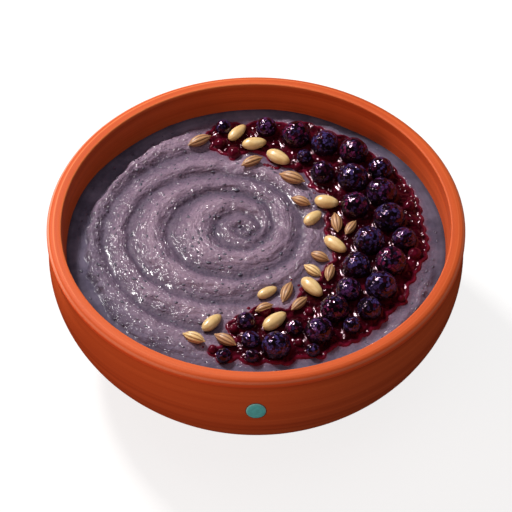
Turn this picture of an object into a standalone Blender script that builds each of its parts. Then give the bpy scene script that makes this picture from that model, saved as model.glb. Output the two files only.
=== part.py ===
"""Bowl of blue corn mush topped with a crescent of berry compote, pine nuts and ribbed seeds.

The earthenware bowl is turned about the Z axis and stands on z = 0, with its painted dot facing -Y.
The mush fills it almost to the rim and is stirred into a spiral of ridges. The compote is a pool of
jam let into the mush on the +X side, and every berry and pine nut is a solid of its own, partly sunk
in what it lies on.
"""

import random
from math import asin, atan2, cos, hypot, pi, radians, sin, sqrt, tau

import bmesh
import bpy
from mathutils import Matrix, Vector
from mathutils.bvhtree import BVHTree
from mathutils.geometry import delaunay_2d_cdt, interpolate_bezier

MM = 0.001
GAP = 0.3 * MM
CURVED_GAP = 1.2 * GAP
MERGE_DISTANCE = 0.01 * MM

# Bowl
SEGMENTS = 64
BOWL_HEIGHT = 68 * MM
RIM_RADIUS = 85.4 * MM
RIM_WIDTH = 6 * MM
INNER_EDGE = 0.8 * MM
INNER_EDGE_STEPS = 2
OUTER_BAND_WIDTH = 1.3 * MM
OUTER_BAND_FALL = 0.4 * MM
SHOULDER_WIDTH = 1.5 * MM
SHOULDER_FALL = 1.3 * MM
LIP_DEPTH = 3.4 * MM
LIP_STEP = 0.5 * MM
LIP_FOOT = BOWL_HEIGHT - LIP_DEPTH - LIP_STEP
BELLY_RADIUS = 85.4 * MM
BELLY_DEPTH = 16.5 * MM
BELLY_HALF_HEIGHT = 62 * MM
FOOT_EDGE = 1.2 * MM
FOOT_RING_WIDTH = 9 * MM
FOOT_RECESS = 1.5 * MM
FLOOR_THICKNESS = 6.5 * MM
FLOOR_RADIUS = 38 * MM
INNER_TOP_DROP = 1.6 * MM
INNER_POINTS = 7
OUTER_STEPS = 7

# Handles of the curve that the bowl's inside follows: the upper one is set in from the rim and
# below it, and the lower one lies level with the floor
UPPER_HANDLE_INSET = 8.6 * MM
UPPER_HANDLE_DROP = 28.5 * MM
LOWER_HANDLE_RADIUS = 74 * MM

# Painted dot on the front of the bowl
DOT_WIDTH = 7.8 * MM
DOT_HEIGHT = 9.2 * MM
DOT_CENTRE_HEIGHT = 50.5 * MM
DOT_RELIEF = 0.4 * MM
DOT_SIDES = 24
DOT_REACH = 4 * MM

# Mush
MUSH_LEVEL = 53.2 * MM
STIRRED_RISE = 0.3 * MM
STIRRED_RADIUS = 69.5 * MM
STIRRED_SLOPE = 3.2 * MM
STIRRED_SCALLOP = 0.7 * MM
WALL_WAVE_FROM = 70 * MM
WALL_RISE_FROM = 75 * MM
WALL_REACH = 78 * MM
WALL_RISE = 0.5 * MM
WALL_WAVE = 0.45 * MM
RIDGE_STEEPNESS = 0.175
RIDGE_MOST = 2.7 * MM
RIDGE_LEAN = 0.75
RIDGE_SLENDERNESS = 1.6
CALM_FACTOR = 0.25
CALM_WIDTH = 9 * MM

# The groove that the spoon left: its distance from the swirl's eye at each quarter turn,
# anticlockwise, starting with the +X direction
EYE = Vector((-5, 7)) * MM
FIRST_QUARTER = -8
GROOVE_DISTANCES = (
    1.5, 2, 3, 4, 6, 10, 12, 10, 11.5, 21, 31.5, 26, 24, 31, 48, 39.5, 36,
    46, 58, 56, 52, 62, 74, 76, 78, 84, 92, 96, 100, 104, 108, 112,
)
TURNS = 8

# Lines that the mush's triangles follow: at these shares of the way from one groove to the next
SWIRL_LINES = (0, 0.18, 0.4, 0.7)
FIRST_TURN = -1.5
LAST_TURN = 3.5
LINE_STEP = 8 * MM
LINE_MARGIN = 3 * MM
OUTLINE_MARGIN = 1.5 * MM
OUTLINE_SKIP = 3
SIDE_DEPTH = 2 * MM

# Compote
JAM_LEVEL = 54.9 * MM
JAM_DEPTH = 8.6 * MM
JAM_EDGE = 0.9 * MM
EDGE_TOLERANCE = 0.1 * MM
OUTLINE_STEPS = 2
OUTLINE = (
    (-22, 62), (-17, 69.5), (-11, 71.3), (-6, 69.7), (-1, 70.6), (4, 73.2), (10, 70), (15, 69.6),
    (20, 71), (26, 68.3), (34.5, 63.4), (40.5, 61.7), (46, 57.5), (50, 51), (57, 45.8), (62, 37),
    (66.5, 29), (69, 20.5), (70, 10.5), (71.3, 2), (70.8, -6), (67.5, -12.8), (65, -19.5),
    (62, -25), (61.3, -31.5), (55.5, -36.5), (51.5, -43), (44.5, -49.5), (38, -54.2), (31, -56.2),
    (26.5, -61.5), (18.5, -61.4), (12, -65), (5.5, -64), (-2, -65.2), (-7, -62.6), (-13, -64.2),
    (-17.5, -60.6), (-19.8, -57), (-15.5, -55.2), (-9, -52.2), (-12.2, -46.5), (-9.5, -40.8),
    (-3, -37.2), (3, -32.6), (8, -35.4), (13.5, -34.8), (17, -29), (18, -24.5), (25.5, -19.6),
    (27, -14.5), (31, -9.5), (31, -3), (28.6, 4), (28.6, 12), (28.6, 19), (29, 27), (22.5, 32),
    (21.8, 38), (15, 42.5), (6.5, 46.6), (1, 52), (-5.5, 51.5), (-9.4, 47.4), (-14, 51),
    (-19.5, 54.6), (-20, 58.8),
)

# Berries: x, y and radius in millimetres, from the far end of the crescent to the near end.
# Each stands with its middle above the jam by a share of its radius.
BERRY_STAND = 0.3
BERRY_GAP = 0.5 * MM
BERRY_FLATTENING = 0.95
BERRY_UNEVENNESS = 0.02
SPREAD_ROUNDS = 60
BERRIES = (
    (-14, 65.1, 3.5), (4.3, 64.6, 4.7), (18, 59, 6.4), (29.3, 54.4, 6), (20.5, 47.6, 3.3),
    (28, 37.6, 5.2), (40.6, 50, 6.3), (40.7, 33.9, 6.7), (52.5, 39.6, 5.4), (51.9, 25.3, 6.6),
    (41.7, 18.6, 6.1), (55.4, 11, 6.7), (46.6, -1.9, 6.6), (60.9, 0, 5.2), (54.9, -13.3, 6.6),
    (41.1, -15.1, 5.9), (50.5, -26.6, 6.6), (37.3, -28.1, 5.3), (31.9, -38.6, 6.1), (45.5, -38.1, 5.1),
    (38, -46.2, 3.7), (25.2, -49.8, 5.9), (15.2, -47.5, 3.6), (7.9, -57.3, 6), (-2, -54.1, 3.9),
    (-4, -44.1, 3.9), (-1.5, -61.8, 2.9), (-12.8, -61.8, 3.1), (22.6, -59, 2.8),
)

# Jam-coated berries too small to stand alone, fused to the compote: x, y and radius in millimetres
BEAD_SUNK = 0.1
BEADS = (
    (65, -6.6, 2.9), (64, 20, 2.6), (21.3, -37.9, 1.9), (17, -54, 1.9), (-17.2, -57.6, 2),
    (-15.6, 56.5, 2.6), (-9.4, 51, 2.9), (17.6, 43, 1.9), (58.6, -31, 1.7), (-9, -47, 2),
    (3.3, -37, 3),
)

# Pine nuts: x, y, heading in degrees, length and width in millimetres
NUT_THICKNESS = 0.86
NUT_TAPER = 0.16
NUT_SUNK = 0.25
NUT_REACH = 2 * MM
NUT_SIDES = 8
NUT_RINGS = 5
NUTS = (
    (-8, 62.2, 52, 10.9, 4.8), (-0.7, 55.5, 10, 10.6, 5.5), (9.5, 47.2, -35, 11.4, 5.8),
    (29.5, 21.2, -12, 10.4, 5.8), (23.6, 12.2, 45, 9.5, 5), (32.6, -2.7, -42, 11.4, 5.4),
    (22.7, -26, -50, 11.8, 5.8), (4.6, -27.7, 32, 9.1, 4.4), (7.5, -43.9, 43, 11.9, 5.8),
    (-17.6, -44.2, 48, 10.5, 5),
)

# Ribbed seeds: x, y, heading in degrees, length and width in millimetres
SEED_THICKNESS = 0.85
SEED_GROOVE = 0.86
SEED_SUNK = 0.2
SEED_SIDES = 8
SEED_RINGS = 4
MUSH_SEEDS = (
    (-24.1, 56.9, 30, 11.4, 5), (-1.7, 44, 28, 10.3, 4.7), (15.2, 34.4, -23, 11.9, 5.6),
    (18.8, 21.4, -26, 9, 4.4), (26, -8.3, -27, 9, 4.6), (23.1, -15.8, -40, 9.3, 4.5),
    (12.5, -27.9, 72, 11.7, 4.7), (-24.6, -53.3, -25, 10.1, 4.8),
)
JAM_SEEDS = (
    (33.2, 9.5, -84, 11, 4.8), (39.2, 6.8, 60, 9.2, 3.9), (30.1, -18, 78, 9.7, 4.2),
    (17.4, -34.7, 47, 9.5, 4.2), (-12.2, -53.7, -33, 10.6, 4.7),
)


def smooth_step(low, high, value):
    """0 at low, 1 at high, with an even ease between."""
    t = min(max((value - low) / (high - low), 0), 1)
    return t * t * (3 - 2 * t)


def spline(values, position):
    """The Catmull-Rom curve through evenly spaced values, at a position counted in values."""
    index = min(max(int(position), 1), len(values) - 3)
    t = position - index
    a, b, c, d = values[index - 1 : index + 3]
    return b + 0.5 * t * (c - a + t * (2 * a - 5 * b + 4 * c - d + t * (3 * (b - c) + d - a)))


def make_material(name, colour, roughness):
    material = bpy.data.materials.new(name)
    material.use_nodes = True
    shader = material.node_tree.nodes["Principled BSDF"]
    shader.inputs["Base Color"].default_value = (*colour, 1)
    shader.inputs["Roughness"].default_value = roughness
    shader.inputs["Metallic"].default_value = 0
    material.diffuse_color = (*colour, 1)
    return material


def add_object(name, mesh, collection, material=None):
    obj = bpy.data.objects.new(name, mesh)
    collection.objects.link(obj)
    if material:
        mesh.materials.append(material)
    return obj


def as_cutter(obj):
    obj.hide_render = True
    obj.display_type = "WIRE"
    return obj


def add_boolean(obj, operation, other):
    """A Boolean with one object, or with all the objects of a collection."""
    modifier = obj.modifiers.new(operation.title(), "BOOLEAN")
    modifier.operation = operation
    modifier.solver = "EXACT"
    if isinstance(other, bpy.types.Collection):
        modifier.operand_type = "COLLECTION"
        modifier.collection = other
    else:
        modifier.object = other


def apply_modifiers(obj):
    """Keeps the shape that the modifiers make, as the object's own mesh."""
    bpy.context.view_layer.update()
    evaluated = obj.evaluated_get(bpy.context.evaluated_depsgraph_get())
    mesh = bpy.data.meshes.new_from_object(evaluated)
    obj.modifiers.clear()
    old = obj.data
    obj.data = mesh
    bpy.data.meshes.remove(old)


def remove_collection(collection):
    for obj in list(collection.objects):
        bpy.data.objects.remove(obj)
    bpy.data.collections.remove(collection)


# Bowl


def belly(z, offset=0.0):
    """Radius of the bowl's outside at height z."""
    from_belly = (z - (BOWL_HEIGHT - BELLY_DEPTH)) / (BELLY_HALF_HEIGHT + offset)
    return (BELLY_RADIUS + offset) * sqrt(1 - from_belly**2)


def inner_wall():
    """Points (radius, z) of the bowl's inside, from the floor's edge up to just under the rim."""
    top = Vector((RIM_RADIUS - RIM_WIDTH, 0, BOWL_HEIGHT - INNER_TOP_DROP))
    top_handle = Vector((RIM_RADIUS - UPPER_HANDLE_INSET, 0, BOWL_HEIGHT - UPPER_HANDLE_DROP))
    floor_handle = Vector((LOWER_HANDLE_RADIUS, 0, FLOOR_THICKNESS))
    floor_edge = Vector((FLOOR_RADIUS, 0, FLOOR_THICKNESS))
    curve = interpolate_bezier(top, top_handle, floor_handle, floor_edge, INNER_POINTS)
    return [(point.x, point.z) for point in reversed(curve)]


def rim():
    """Points of the rim: a rounded inner edge, a flat top, a sloping band, a shoulder and a lip."""
    centre = Vector((RIM_RADIUS - RIM_WIDTH + INNER_EDGE, BOWL_HEIGHT - INNER_EDGE))
    points = []
    for step in range(INNER_EDGE_STEPS + 1):
        angle = radians(170 - 80 * step / INNER_EDGE_STEPS)
        points.append(tuple(centre + INNER_EDGE * Vector((cos(angle), sin(angle)))))
    shoulder = RIM_RADIUS - SHOULDER_WIDTH
    band_foot = BOWL_HEIGHT - OUTER_BAND_FALL
    points.append((shoulder - OUTER_BAND_WIDTH, BOWL_HEIGHT))
    points.append((shoulder, band_foot))
    points.append((RIM_RADIUS, band_foot - SHOULDER_FALL))
    points.append((RIM_RADIUS, BOWL_HEIGHT - LIP_DEPTH))
    return points


def outer_wall(offset=0.0):
    """Points of the bowl's outside from under the lip down to the foot."""
    widest = BOWL_HEIGHT - BELLY_DEPTH
    start = asin((widest - LIP_FOOT) / BELLY_HALF_HEIGHT)
    stop = asin((widest - FOOT_EDGE) / BELLY_HALF_HEIGHT)
    turns = [start + (stop - start) * step / OUTER_STEPS for step in range(OUTER_STEPS + 1)]
    return [(belly(z, offset), z) for z in (widest - BELLY_HALF_HEIGHT * sin(turn) for turn in turns)]


def foot():
    """Points of the foot ring and of the shallow recess inside it."""
    ring = belly(FOOT_EDGE) - FOOT_EDGE
    inside = ring - FOOT_RING_WIDTH
    return [(ring, 0), (inside, 0), (inside - FOOT_RECESS, FOOT_RECESS), (0, FOOT_RECESS)]


def turn(name, points, collection, material=None):
    """A solid of revolution from a profile that starts and ends on the Z axis."""
    mesh = bpy.data.meshes.new(name)
    edges = [(index, index + 1) for index in range(len(points) - 1)]
    mesh.from_pydata([(radius, 0, z) for radius, z in points], edges, [])
    obj = add_object(name, mesh, collection, material)
    screw = obj.modifiers.new("Turn", "SCREW")
    screw.steps = SEGMENTS
    screw.render_steps = SEGMENTS
    screw.use_merge_vertices = True
    screw.merge_threshold = MERGE_DISTANCE
    screw.use_smooth_shade = True
    return obj


def make_dot(cutters):
    """A low dab of slip on the front of the bowl, its face parallel to the wall."""
    mesh = bpy.data.meshes.new("dot")
    shape = bmesh.new()
    half = DOT_WIDTH / 2
    bmesh.ops.create_cone(
        shape, cap_ends=True, segments=DOT_SIDES, radius1=half, radius2=half, depth=2 * DOT_REACH
    )
    bmesh.ops.scale(shape, vec=(1, DOT_HEIGHT / DOT_WIDTH, 1), verts=shape.verts)
    bmesh.ops.rotate(shape, matrix=Matrix.Rotation(pi / 2, 3, "X"), verts=shape.verts)
    reach = Vector((0, -belly(DOT_CENTRE_HEIGHT), DOT_CENTRE_HEIGHT))
    bmesh.ops.translate(shape, vec=reach, verts=shape.verts)
    shape.to_mesh(mesh)
    shape.free()
    dot = as_cutter(add_object("dot", mesh, cutters))
    relief = [(0, LIP_FOOT), *outer_wall(DOT_RELIEF), (0, FOOT_EDGE)]
    add_boolean(dot, "INTERSECT", as_cutter(turn("dot_face", relief, cutters)))
    return dot


def make_bowl(parts, cutters):
    clay = make_material("red_earthenware", (0.52, 0.12, 0.035), 0.62)
    floor = (0, FLOOR_THICKNESS)
    profile = [floor, *inner_wall(), *rim(), *outer_wall(), *foot()]
    bowl = turn("bowl", profile, parts, clay)
    add_boolean(bowl, "UNION", make_dot(cutters))
    return bowl


# Mush


def groove_distance(turns):
    """Distance of the spoon's groove from the eye after so many turns from the +X direction."""
    return spline(GROOVE_DISTANCES, 4 * turns - FIRST_QUARTER) * MM


def swirl_point(turns, between):
    """A point on the swirl: on the groove where between is 0, on the next turn's groove at 1."""
    low = groove_distance(turns)
    distance = low + (groove_distance(turns + 1) - low) * between
    return EYE + distance * Vector((cos(tau * turns), sin(tau * turns)))


def ridge(x, y):
    """Height of the swirled ridge above its groove. The side that faces the eye is the steep one."""
    from_eye = Vector((x, y)) - EYE
    direction = (atan2(from_eye.y, from_eye.x) % tau) / tau
    distance = from_eye.length
    grooves = [0.0] + [groove_distance(direction + turn - 2) for turn in range(TURNS)]
    low = max(groove for groove in grooves if groove <= distance)
    high = min(groove for groove in grooves if groove > distance)
    pitch = high - low
    between = (distance - low) / pitch
    return min(RIDGE_STEEPNESS * pitch, RIDGE_MOST) * sin(pi * between**RIDGE_LEAN) ** RIDGE_SLENDERNESS


def stirred_edge(angle):
    """Radius of the scalloped edge where the stirred mush ends and the smooth ring begins."""
    return STIRRED_RADIUS + STIRRED_SCALLOP * (sin(11 * angle) + 0.6 * sin(17 * angle + 1))


def distance_outside(x, y, outline):
    """Distance of a point from a closed outline, negative inside it."""
    point = Vector((x, y))
    nearest = 1.0
    inside = False
    for start, end in zip(outline, outline[1:] + outline[:1]):
        along = end - start
        t = min(max((point - start).dot(along) / along.length_squared, 0), 1)
        nearest = min(nearest, (point - start - along * t).length)
        if (start.y > y) != (end.y > y) and x < start.x + along.x * (y - start.y) / along.y:
            inside = not inside
    return -nearest if inside else nearest


def mush_height(x, y, outline):
    """Height of the mush's top: the ridges calm down near the compote, and the smooth ring climbs
    the bowl's wall in a low wave."""
    radius = hypot(x, y)
    angle = atan2(y, x)
    edge = stirred_edge(angle)
    stirred = 1 - smooth_step(edge - STIRRED_SLOPE / 2, edge + STIRRED_SLOPE / 2, radius)
    away = smooth_step(0, CALM_WIDTH, distance_outside(x, y, outline))
    calm = CALM_FACTOR + (1 - CALM_FACTOR) * away
    wave = WALL_WAVE * (sin(5 * angle) + 0.5 * sin(9 * angle + 2))
    wall = WALL_RISE * smooth_step(WALL_RISE_FROM, WALL_REACH, radius)
    wall += wave * smooth_step(WALL_WAVE_FROM, WALL_REACH, radius)
    return MUSH_LEVEL + stirred * (STIRRED_RISE + ridge(x, y) * calm) + wall


def wall_radius(z, wall):
    """Radius of the mush's side at height z, where the side follows the points of the wall."""
    for (low_radius, low), (high_radius, high) in zip(wall, wall[1:]):
        if low <= z <= high:
            return low_radius + (high_radius - low_radius) * (z - low) / (high - low)
    return wall[-1][0]


def top_points(outline, wall):
    """Points (x, y) of the mush's top, and the lines along the swirl that its triangles keep.

    The ring against the bowl's wall comes first, one point for each of the bowl's segments.
    """
    angles = [tau * step / SEGMENTS for step in range(SEGMENTS)]
    directions = [Vector((cos(angle), sin(angle))) for angle in angles]
    points = [direction * wall_radius(MUSH_LEVEL, wall) for direction in directions]
    lines = []
    for direction in directions:
        edge = stirred_edge(atan2(direction.y, direction.x))
        for radius in (edge - STIRRED_SLOPE / 2, edge + STIRRED_SLOPE / 2, WALL_RISE_FROM):
            point = direction * radius
            if distance_outside(point.x, point.y, outline) > OUTLINE_MARGIN:
                points.append(point)
    points.extend(offset_outline(outline, OUTLINE_MARGIN)[::OUTLINE_SKIP])
    for between in SWIRL_LINES:
        turns = FIRST_TURN
        joined = False
        while turns < LAST_TURN:
            point = swirl_point(turns, between)
            inside = point.length < stirred_edge(atan2(point.y, point.x)) - LINE_MARGIN
            kept = inside and distance_outside(point.x, point.y, outline) > LINE_MARGIN
            if kept:
                points.append(point)
            if kept and joined:
                lines.append((len(points) - 2, len(points) - 1))
            joined = kept
            turns += LINE_STEP / (tau * max((point - EYE).length, LINE_STEP))
    points.append(EYE.copy())
    return points, lines


def make_mush(parts, cutters, outline):
    material = make_material("blue_corn_mush", (0.20, 0.15, 0.20), 0.45)
    wall = [(radius - CURVED_GAP, z + CURVED_GAP) for radius, z in inner_wall()]
    below = [level for level in reversed(wall) if level[1] < MUSH_LEVEL - SIDE_DEPTH]
    points, lines = top_points(outline, wall)
    flat, _, triangles, *_ = delaunay_2d_cdt(points, lines, [], 0, 1e-7)
    shape = bmesh.new()
    top = [shape.verts.new((x, y, mush_height(x, y, outline))) for x, y in flat]
    for triangle in triangles:
        shape.faces.new([top[index] for index in triangle])
    above = top[:SEGMENTS]
    for vert in above:
        radius = wall_radius(vert.co.z, wall)
        vert.co.xy = vert.co.xy.normalized() * radius
    for radius, z in below:
        ring = [
            shape.verts.new((radius * cos(tau * step / SEGMENTS), radius * sin(tau * step / SEGMENTS), z))
            for step in range(SEGMENTS)
        ]
        for step in range(SEGMENTS):
            after = (step + 1) % SEGMENTS
            shape.faces.new((above[step], ring[step], ring[after], above[after]))
        above = ring
    shape.faces.new(list(reversed(above)))
    surface = BVHTree.FromBMesh(shape)
    mesh = bpy.data.meshes.new("mush")
    shape.to_mesh(mesh)
    shape.free()
    mesh.shade_smooth()
    mush = add_object("mush", mesh, parts, material)
    seeds = add_group("mush_seeds")
    for index, (x, y, heading, length, width) in enumerate(MUSH_SEEDS):
        hit, *_ = surface.ray_cast(Vector((x * MM, y * MM, BOWL_HEIGHT)), Vector((0, 0, -1)))
        add_seed(f"mush_seed_{index}", x, y, hit.z, heading, length, width, seeds)
    add_boolean(mush, "UNION", seeds)
    apply_modifiers(mush)
    remove_collection(seeds)
    bed = offset_outline(outline, GAP)
    pit = as_cutter(add_slab("bed", bed, JAM_LEVEL - JAM_DEPTH - GAP, BOWL_HEIGHT, cutters))
    add_boolean(mush, "DIFFERENCE", pit)
    return mush


# Compote


def smooth_outline():
    """The compote's edge as a closed, smooth line through the named points."""
    knots = [Vector(point) * MM for point in OUTLINE]
    count = len(knots)
    line = []
    for index in range(count):
        around = [knots[(index + shift) % count] for shift in (-1, 0, 1, 2)]
        for step in range(OUTLINE_STEPS):
            position = 1 + step / OUTLINE_STEPS
            line.append(Vector(spline([point[axis] for point in around], position) for axis in (0, 1)))
    return line


def offset_outline(outline, distance):
    """The same line moved outwards. It runs clockwise, so its outside is on the left."""
    moved = []
    for index, point in enumerate(outline):
        along = (outline[(index + 1) % len(outline)] - outline[index - 1]).normalized()
        moved.append(point + distance * Vector((-along.y, along.x)))
    return moved


def add_slab(name, outline, bottom, top, collection, material=None):
    """A flat solid between two heights with the outline's shape."""
    mesh = bpy.data.meshes.new(name)
    shape = bmesh.new()
    base = shape.faces.new([shape.verts.new((x, y, bottom)) for x, y in outline])
    raised = bmesh.ops.extrude_face_region(shape, geom=[base])["geom"]
    risen = [item for item in raised if isinstance(item, bmesh.types.BMVert)]
    bmesh.ops.translate(shape, vec=(0, 0, top - bottom), verts=risen)
    bmesh.ops.recalc_face_normals(shape, faces=shape.faces)
    shape.to_mesh(mesh)
    shape.free()
    return add_object(name, mesh, collection, material)


def round_top_edge(obj, top, width):
    """Rounds the upper edge of a slab."""
    shape = bmesh.new()
    shape.from_mesh(obj.data)
    lowest = top - EDGE_TOLERANCE
    edges = [edge for edge in shape.edges if all(vert.co.z > lowest for vert in edge.verts)]
    bmesh.ops.bevel(shape, geom=edges, offset=width, segments=1, profile=0.5, affect="EDGES")
    shape.to_mesh(obj.data)
    shape.free()


def make_compote(parts, cutters, outline, pockets):
    jam = make_material("berry_compote", (0.10, 0.006, 0.012), 0.12)
    compote = add_slab("compote", outline, JAM_LEVEL - JAM_DEPTH, JAM_LEVEL, parts, jam)
    round_top_edge(compote, JAM_LEVEL, JAM_EDGE)
    fused = add_group("compote_bits")
    for index, (x, y, radius) in enumerate(BEADS):
        bead = add_object(f"bead_{index}", ball_mesh("bead", radius * MM, 1, index), fused)
        bead.location = (x * MM, y * MM, JAM_LEVEL - BEAD_SUNK * radius * MM)
    for index, (x, y, heading, length, width) in enumerate(JAM_SEEDS):
        add_seed(f"jam_seed_{index}", x, y, JAM_LEVEL, heading, length, width, fused)
    add_boolean(compote, "UNION", fused)
    apply_modifiers(compote)
    remove_collection(fused)
    add_boolean(compote, "DIFFERENCE", pockets)
    return compote


# Berries, pine nuts and seeds


def add_group(name):
    """A hidden collection for shapes that are fused to another."""
    group = bpy.data.collections.new(name)
    bpy.context.scene.collection.children.link(group)
    group.hide_render = True
    return group


def ball_mesh(name, radius, flattening, seed, enlarged=0.0):
    """A slightly uneven ball of 80 faces."""
    draw = random.Random(seed)
    shape = bmesh.new()
    bmesh.ops.create_icosphere(shape, subdivisions=2, radius=1)
    for vert in shape.verts:
        bulge = 1 + draw.uniform(-BERRY_UNEVENNESS, BERRY_UNEVENNESS)
        vert.co *= radius * bulge + enlarged
        vert.co.z *= flattening
    mesh = bpy.data.meshes.new(name)
    shape.to_mesh(mesh)
    shape.free()
    mesh.shade_smooth()
    return mesh


def spread_berries():
    """The berries' places, eased apart until no two are closer than the gap."""
    places = [Vector((x, y)) * MM for x, y, _ in BERRIES]
    for _ in range(SPREAD_ROUNDS):
        for first in range(len(places)):
            for second in range(first):
                apart = places[first] - places[second]
                needed = (BERRIES[first][2] + BERRIES[second][2]) * (1 + BERRY_UNEVENNESS) * MM + BERRY_GAP
                if apart.length < needed:
                    push = apart.normalized() * (needed - apart.length) / 2
                    places[first] += push
                    places[second] -= push
    return places


def spindle_mesh(name, length, width, thickness, sides, rings, shape_of):
    """A long grain along X. shape_of(side, along) scales its radius, along running from -1 to 1."""
    shape = bmesh.new()
    bmesh.ops.create_uvsphere(shape, u_segments=sides, v_segments=rings, radius=1)
    for vert in shape.verts:
        side = round(sides * (atan2(vert.co.y, vert.co.x) % tau) / tau) % sides
        scale = shape_of(side, vert.co.z)
        vert.co = (
            vert.co.z * length / 2,
            vert.co.x * scale * width / 2,
            vert.co.y * scale * thickness / 2,
        )
    mesh = bpy.data.meshes.new(name)
    shape.to_mesh(mesh)
    shape.free()
    mesh.shade_smooth()
    return mesh


def add_seed(name, x, y, lie, heading, length, width, collection):
    """A ribbed seed, partly sunk in the surface at height lie."""
    thickness = width * SEED_THICKNESS
    mesh = spindle_mesh(
        name,
        length * MM,
        width * MM,
        thickness * MM,
        SEED_SIDES,
        SEED_RINGS,
        lambda side, along: 1 if side % 2 else SEED_GROOVE,
    )
    seed = add_object(name, mesh, collection)
    seed.location = (x * MM, y * MM, lie + thickness * MM * (0.5 - SEED_SUNK))
    seed.rotation_euler = (0, 0, radians(heading))
    return seed


def add_nut(name, row, lie, collection, material=None, enlarged=0.0):
    """A pine nut, blunt at one end, partly sunk in the surface at height lie."""
    x, y, heading, length, width = row
    thickness = width * NUT_THICKNESS
    grown = 2 * enlarged
    mesh = spindle_mesh(
        name,
        length * MM + grown,
        width * MM + grown,
        thickness * MM + grown,
        NUT_SIDES,
        NUT_RINGS,
        lambda side, along: 1 - NUT_TAPER * along,
    )
    nut = add_object(name, mesh, collection, material)
    nut.location = (x * MM, y * MM, lie + thickness * MM * (0.5 - NUT_SUNK))
    nut.rotation_euler = (0, 0, radians(heading))
    return nut


def nut_lie(x, y, outline):
    """Height of the surface under a pine nut: the mush, or the jam within a nut's width of it."""
    if distance_outside(x * MM, y * MM, outline) < NUT_REACH:
        return JAM_LEVEL
    return mush_height(x * MM, y * MM, outline)


def make_toppings(parts, cutters, outline):
    """The berries and pine nuts, with a slightly larger pocket cutter for each."""
    pockets = bpy.data.collections.new("pockets")
    cutters.children.link(pockets)
    skin = make_material("dark_berry", (0.025, 0.012, 0.045), 0.18)
    kernel = make_material("pine_nut", (0.80, 0.56, 0.27), 0.4)
    for index, place in enumerate(spread_berries()):
        radius = BERRIES[index][2] * MM
        name = f"berry_{index + 1:02d}"
        centre = (place.x, place.y, JAM_LEVEL + BERRY_STAND * radius)
        berry = add_object(name, ball_mesh(name, radius, BERRY_FLATTENING, index), parts, skin)
        berry.location = centre
        pocket = ball_mesh(name, radius, BERRY_FLATTENING, index, CURVED_GAP)
        as_cutter(add_object(name + "_pocket", pocket, pockets)).location = centre
    for index, row in enumerate(NUTS):
        name = f"pine_nut_{index + 1:02d}"
        lie = nut_lie(row[0], row[1], outline)
        add_nut(name, row, lie, parts, kernel)
        as_cutter(add_nut(name + "_pocket", row, lie, pockets, enlarged=CURVED_GAP))
    return pockets


def main():
    for obj in list(bpy.data.objects):
        bpy.data.objects.remove(obj)
    parts = bpy.data.collections.new("bowl_of_blue_corn_mush")
    cutters = bpy.data.collections.new("cutters")
    for collection in (parts, cutters):
        bpy.context.scene.collection.children.link(collection)
    cutters.hide_render = True
    outline = smooth_outline()
    make_bowl(parts, cutters)
    pockets = make_toppings(parts, cutters, outline)
    mush = make_mush(parts, cutters, outline)
    add_boolean(mush, "DIFFERENCE", pockets)
    make_compote(parts, cutters, outline, pockets)


main()
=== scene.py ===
"""Looks of the bowl of blue corn mush: turned clay, stirred mush, wet berry compote, nuts and seeds.

Every piece stands where the frame has its solid. Lengths are in metres, written in millimetres
times MM. The bowl is turned about the Z axis and the camera stands on the -Y side.
"""

import random
from math import asin, atan2, cos, pi, radians, sin, sqrt, tau

import bmesh
import bpy
import numpy as np
from mathutils import Matrix, Vector, noise
from mathutils.geometry import delaunay_2d_cdt, interpolate_bezier


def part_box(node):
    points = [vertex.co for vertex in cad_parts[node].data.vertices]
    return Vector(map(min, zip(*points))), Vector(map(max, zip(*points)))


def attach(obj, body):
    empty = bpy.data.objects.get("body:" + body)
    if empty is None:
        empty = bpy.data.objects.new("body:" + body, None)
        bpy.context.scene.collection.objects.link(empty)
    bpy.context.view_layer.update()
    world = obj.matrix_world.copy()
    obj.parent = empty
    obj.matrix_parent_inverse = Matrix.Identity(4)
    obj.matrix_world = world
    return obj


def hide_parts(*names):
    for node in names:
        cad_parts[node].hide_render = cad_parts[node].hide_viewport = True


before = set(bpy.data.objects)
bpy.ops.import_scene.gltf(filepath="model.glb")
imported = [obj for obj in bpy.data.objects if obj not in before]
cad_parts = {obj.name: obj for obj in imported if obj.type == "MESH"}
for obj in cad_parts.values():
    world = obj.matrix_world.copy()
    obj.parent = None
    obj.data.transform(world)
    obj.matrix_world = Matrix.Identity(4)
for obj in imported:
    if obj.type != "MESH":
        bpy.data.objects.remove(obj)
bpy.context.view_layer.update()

MM = 0.001

# Bowl
BOWL_SIDES = 256
BOWL_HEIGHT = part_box("bowl")[1].z
RIM_RADIUS = 85.4 * MM
RIM_WIDTH = 6 * MM
INNER_EDGE = 0.8 * MM
INNER_EDGE_ANGLES = np.radians(np.linspace(172, 90, 7))
OUTER_BAND_WIDTH = 1.3 * MM
OUTER_BAND_FALL = 0.4 * MM
SHOULDER_WIDTH = 1.5 * MM
SHOULDER_FALL = 1.3 * MM
CREASE = 0.12 * MM
LIP_DEPTH = 3.4 * MM
LIP_STEP = 0.5 * MM
LIP_UNDERSIDE = 0.9 * MM
LIP_UNDERSIDE_FALL = 0.1 * MM
BELLY_RADIUS = 85.4 * MM
BELLY_DEPTH = 16.5 * MM
BELLY_HALF_HEIGHT = 62 * MM
OUTER_WALL_STEPS = 90
FOOT_EDGE = 1.2 * MM
FOOT_RING_WIDTH = 9 * MM
FOOT_RECESS = 1.5 * MM
FOOT_SOFTNESS = 0.3 * MM
FLOOR_THICKNESS = 6.5 * MM
FLOOR_RADIUS = 38 * MM
FLOOR_RINGS = (0.35, 0.7)
INNER_WALL_STEPS = 40
INNER_TOP_DROP = 1.6 * MM
UPPER_HANDLE_INSET = 8.6 * MM
UPPER_HANDLE_DROP = 28.5 * MM
LOWER_HANDLE_RADIUS = 74 * MM

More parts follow.
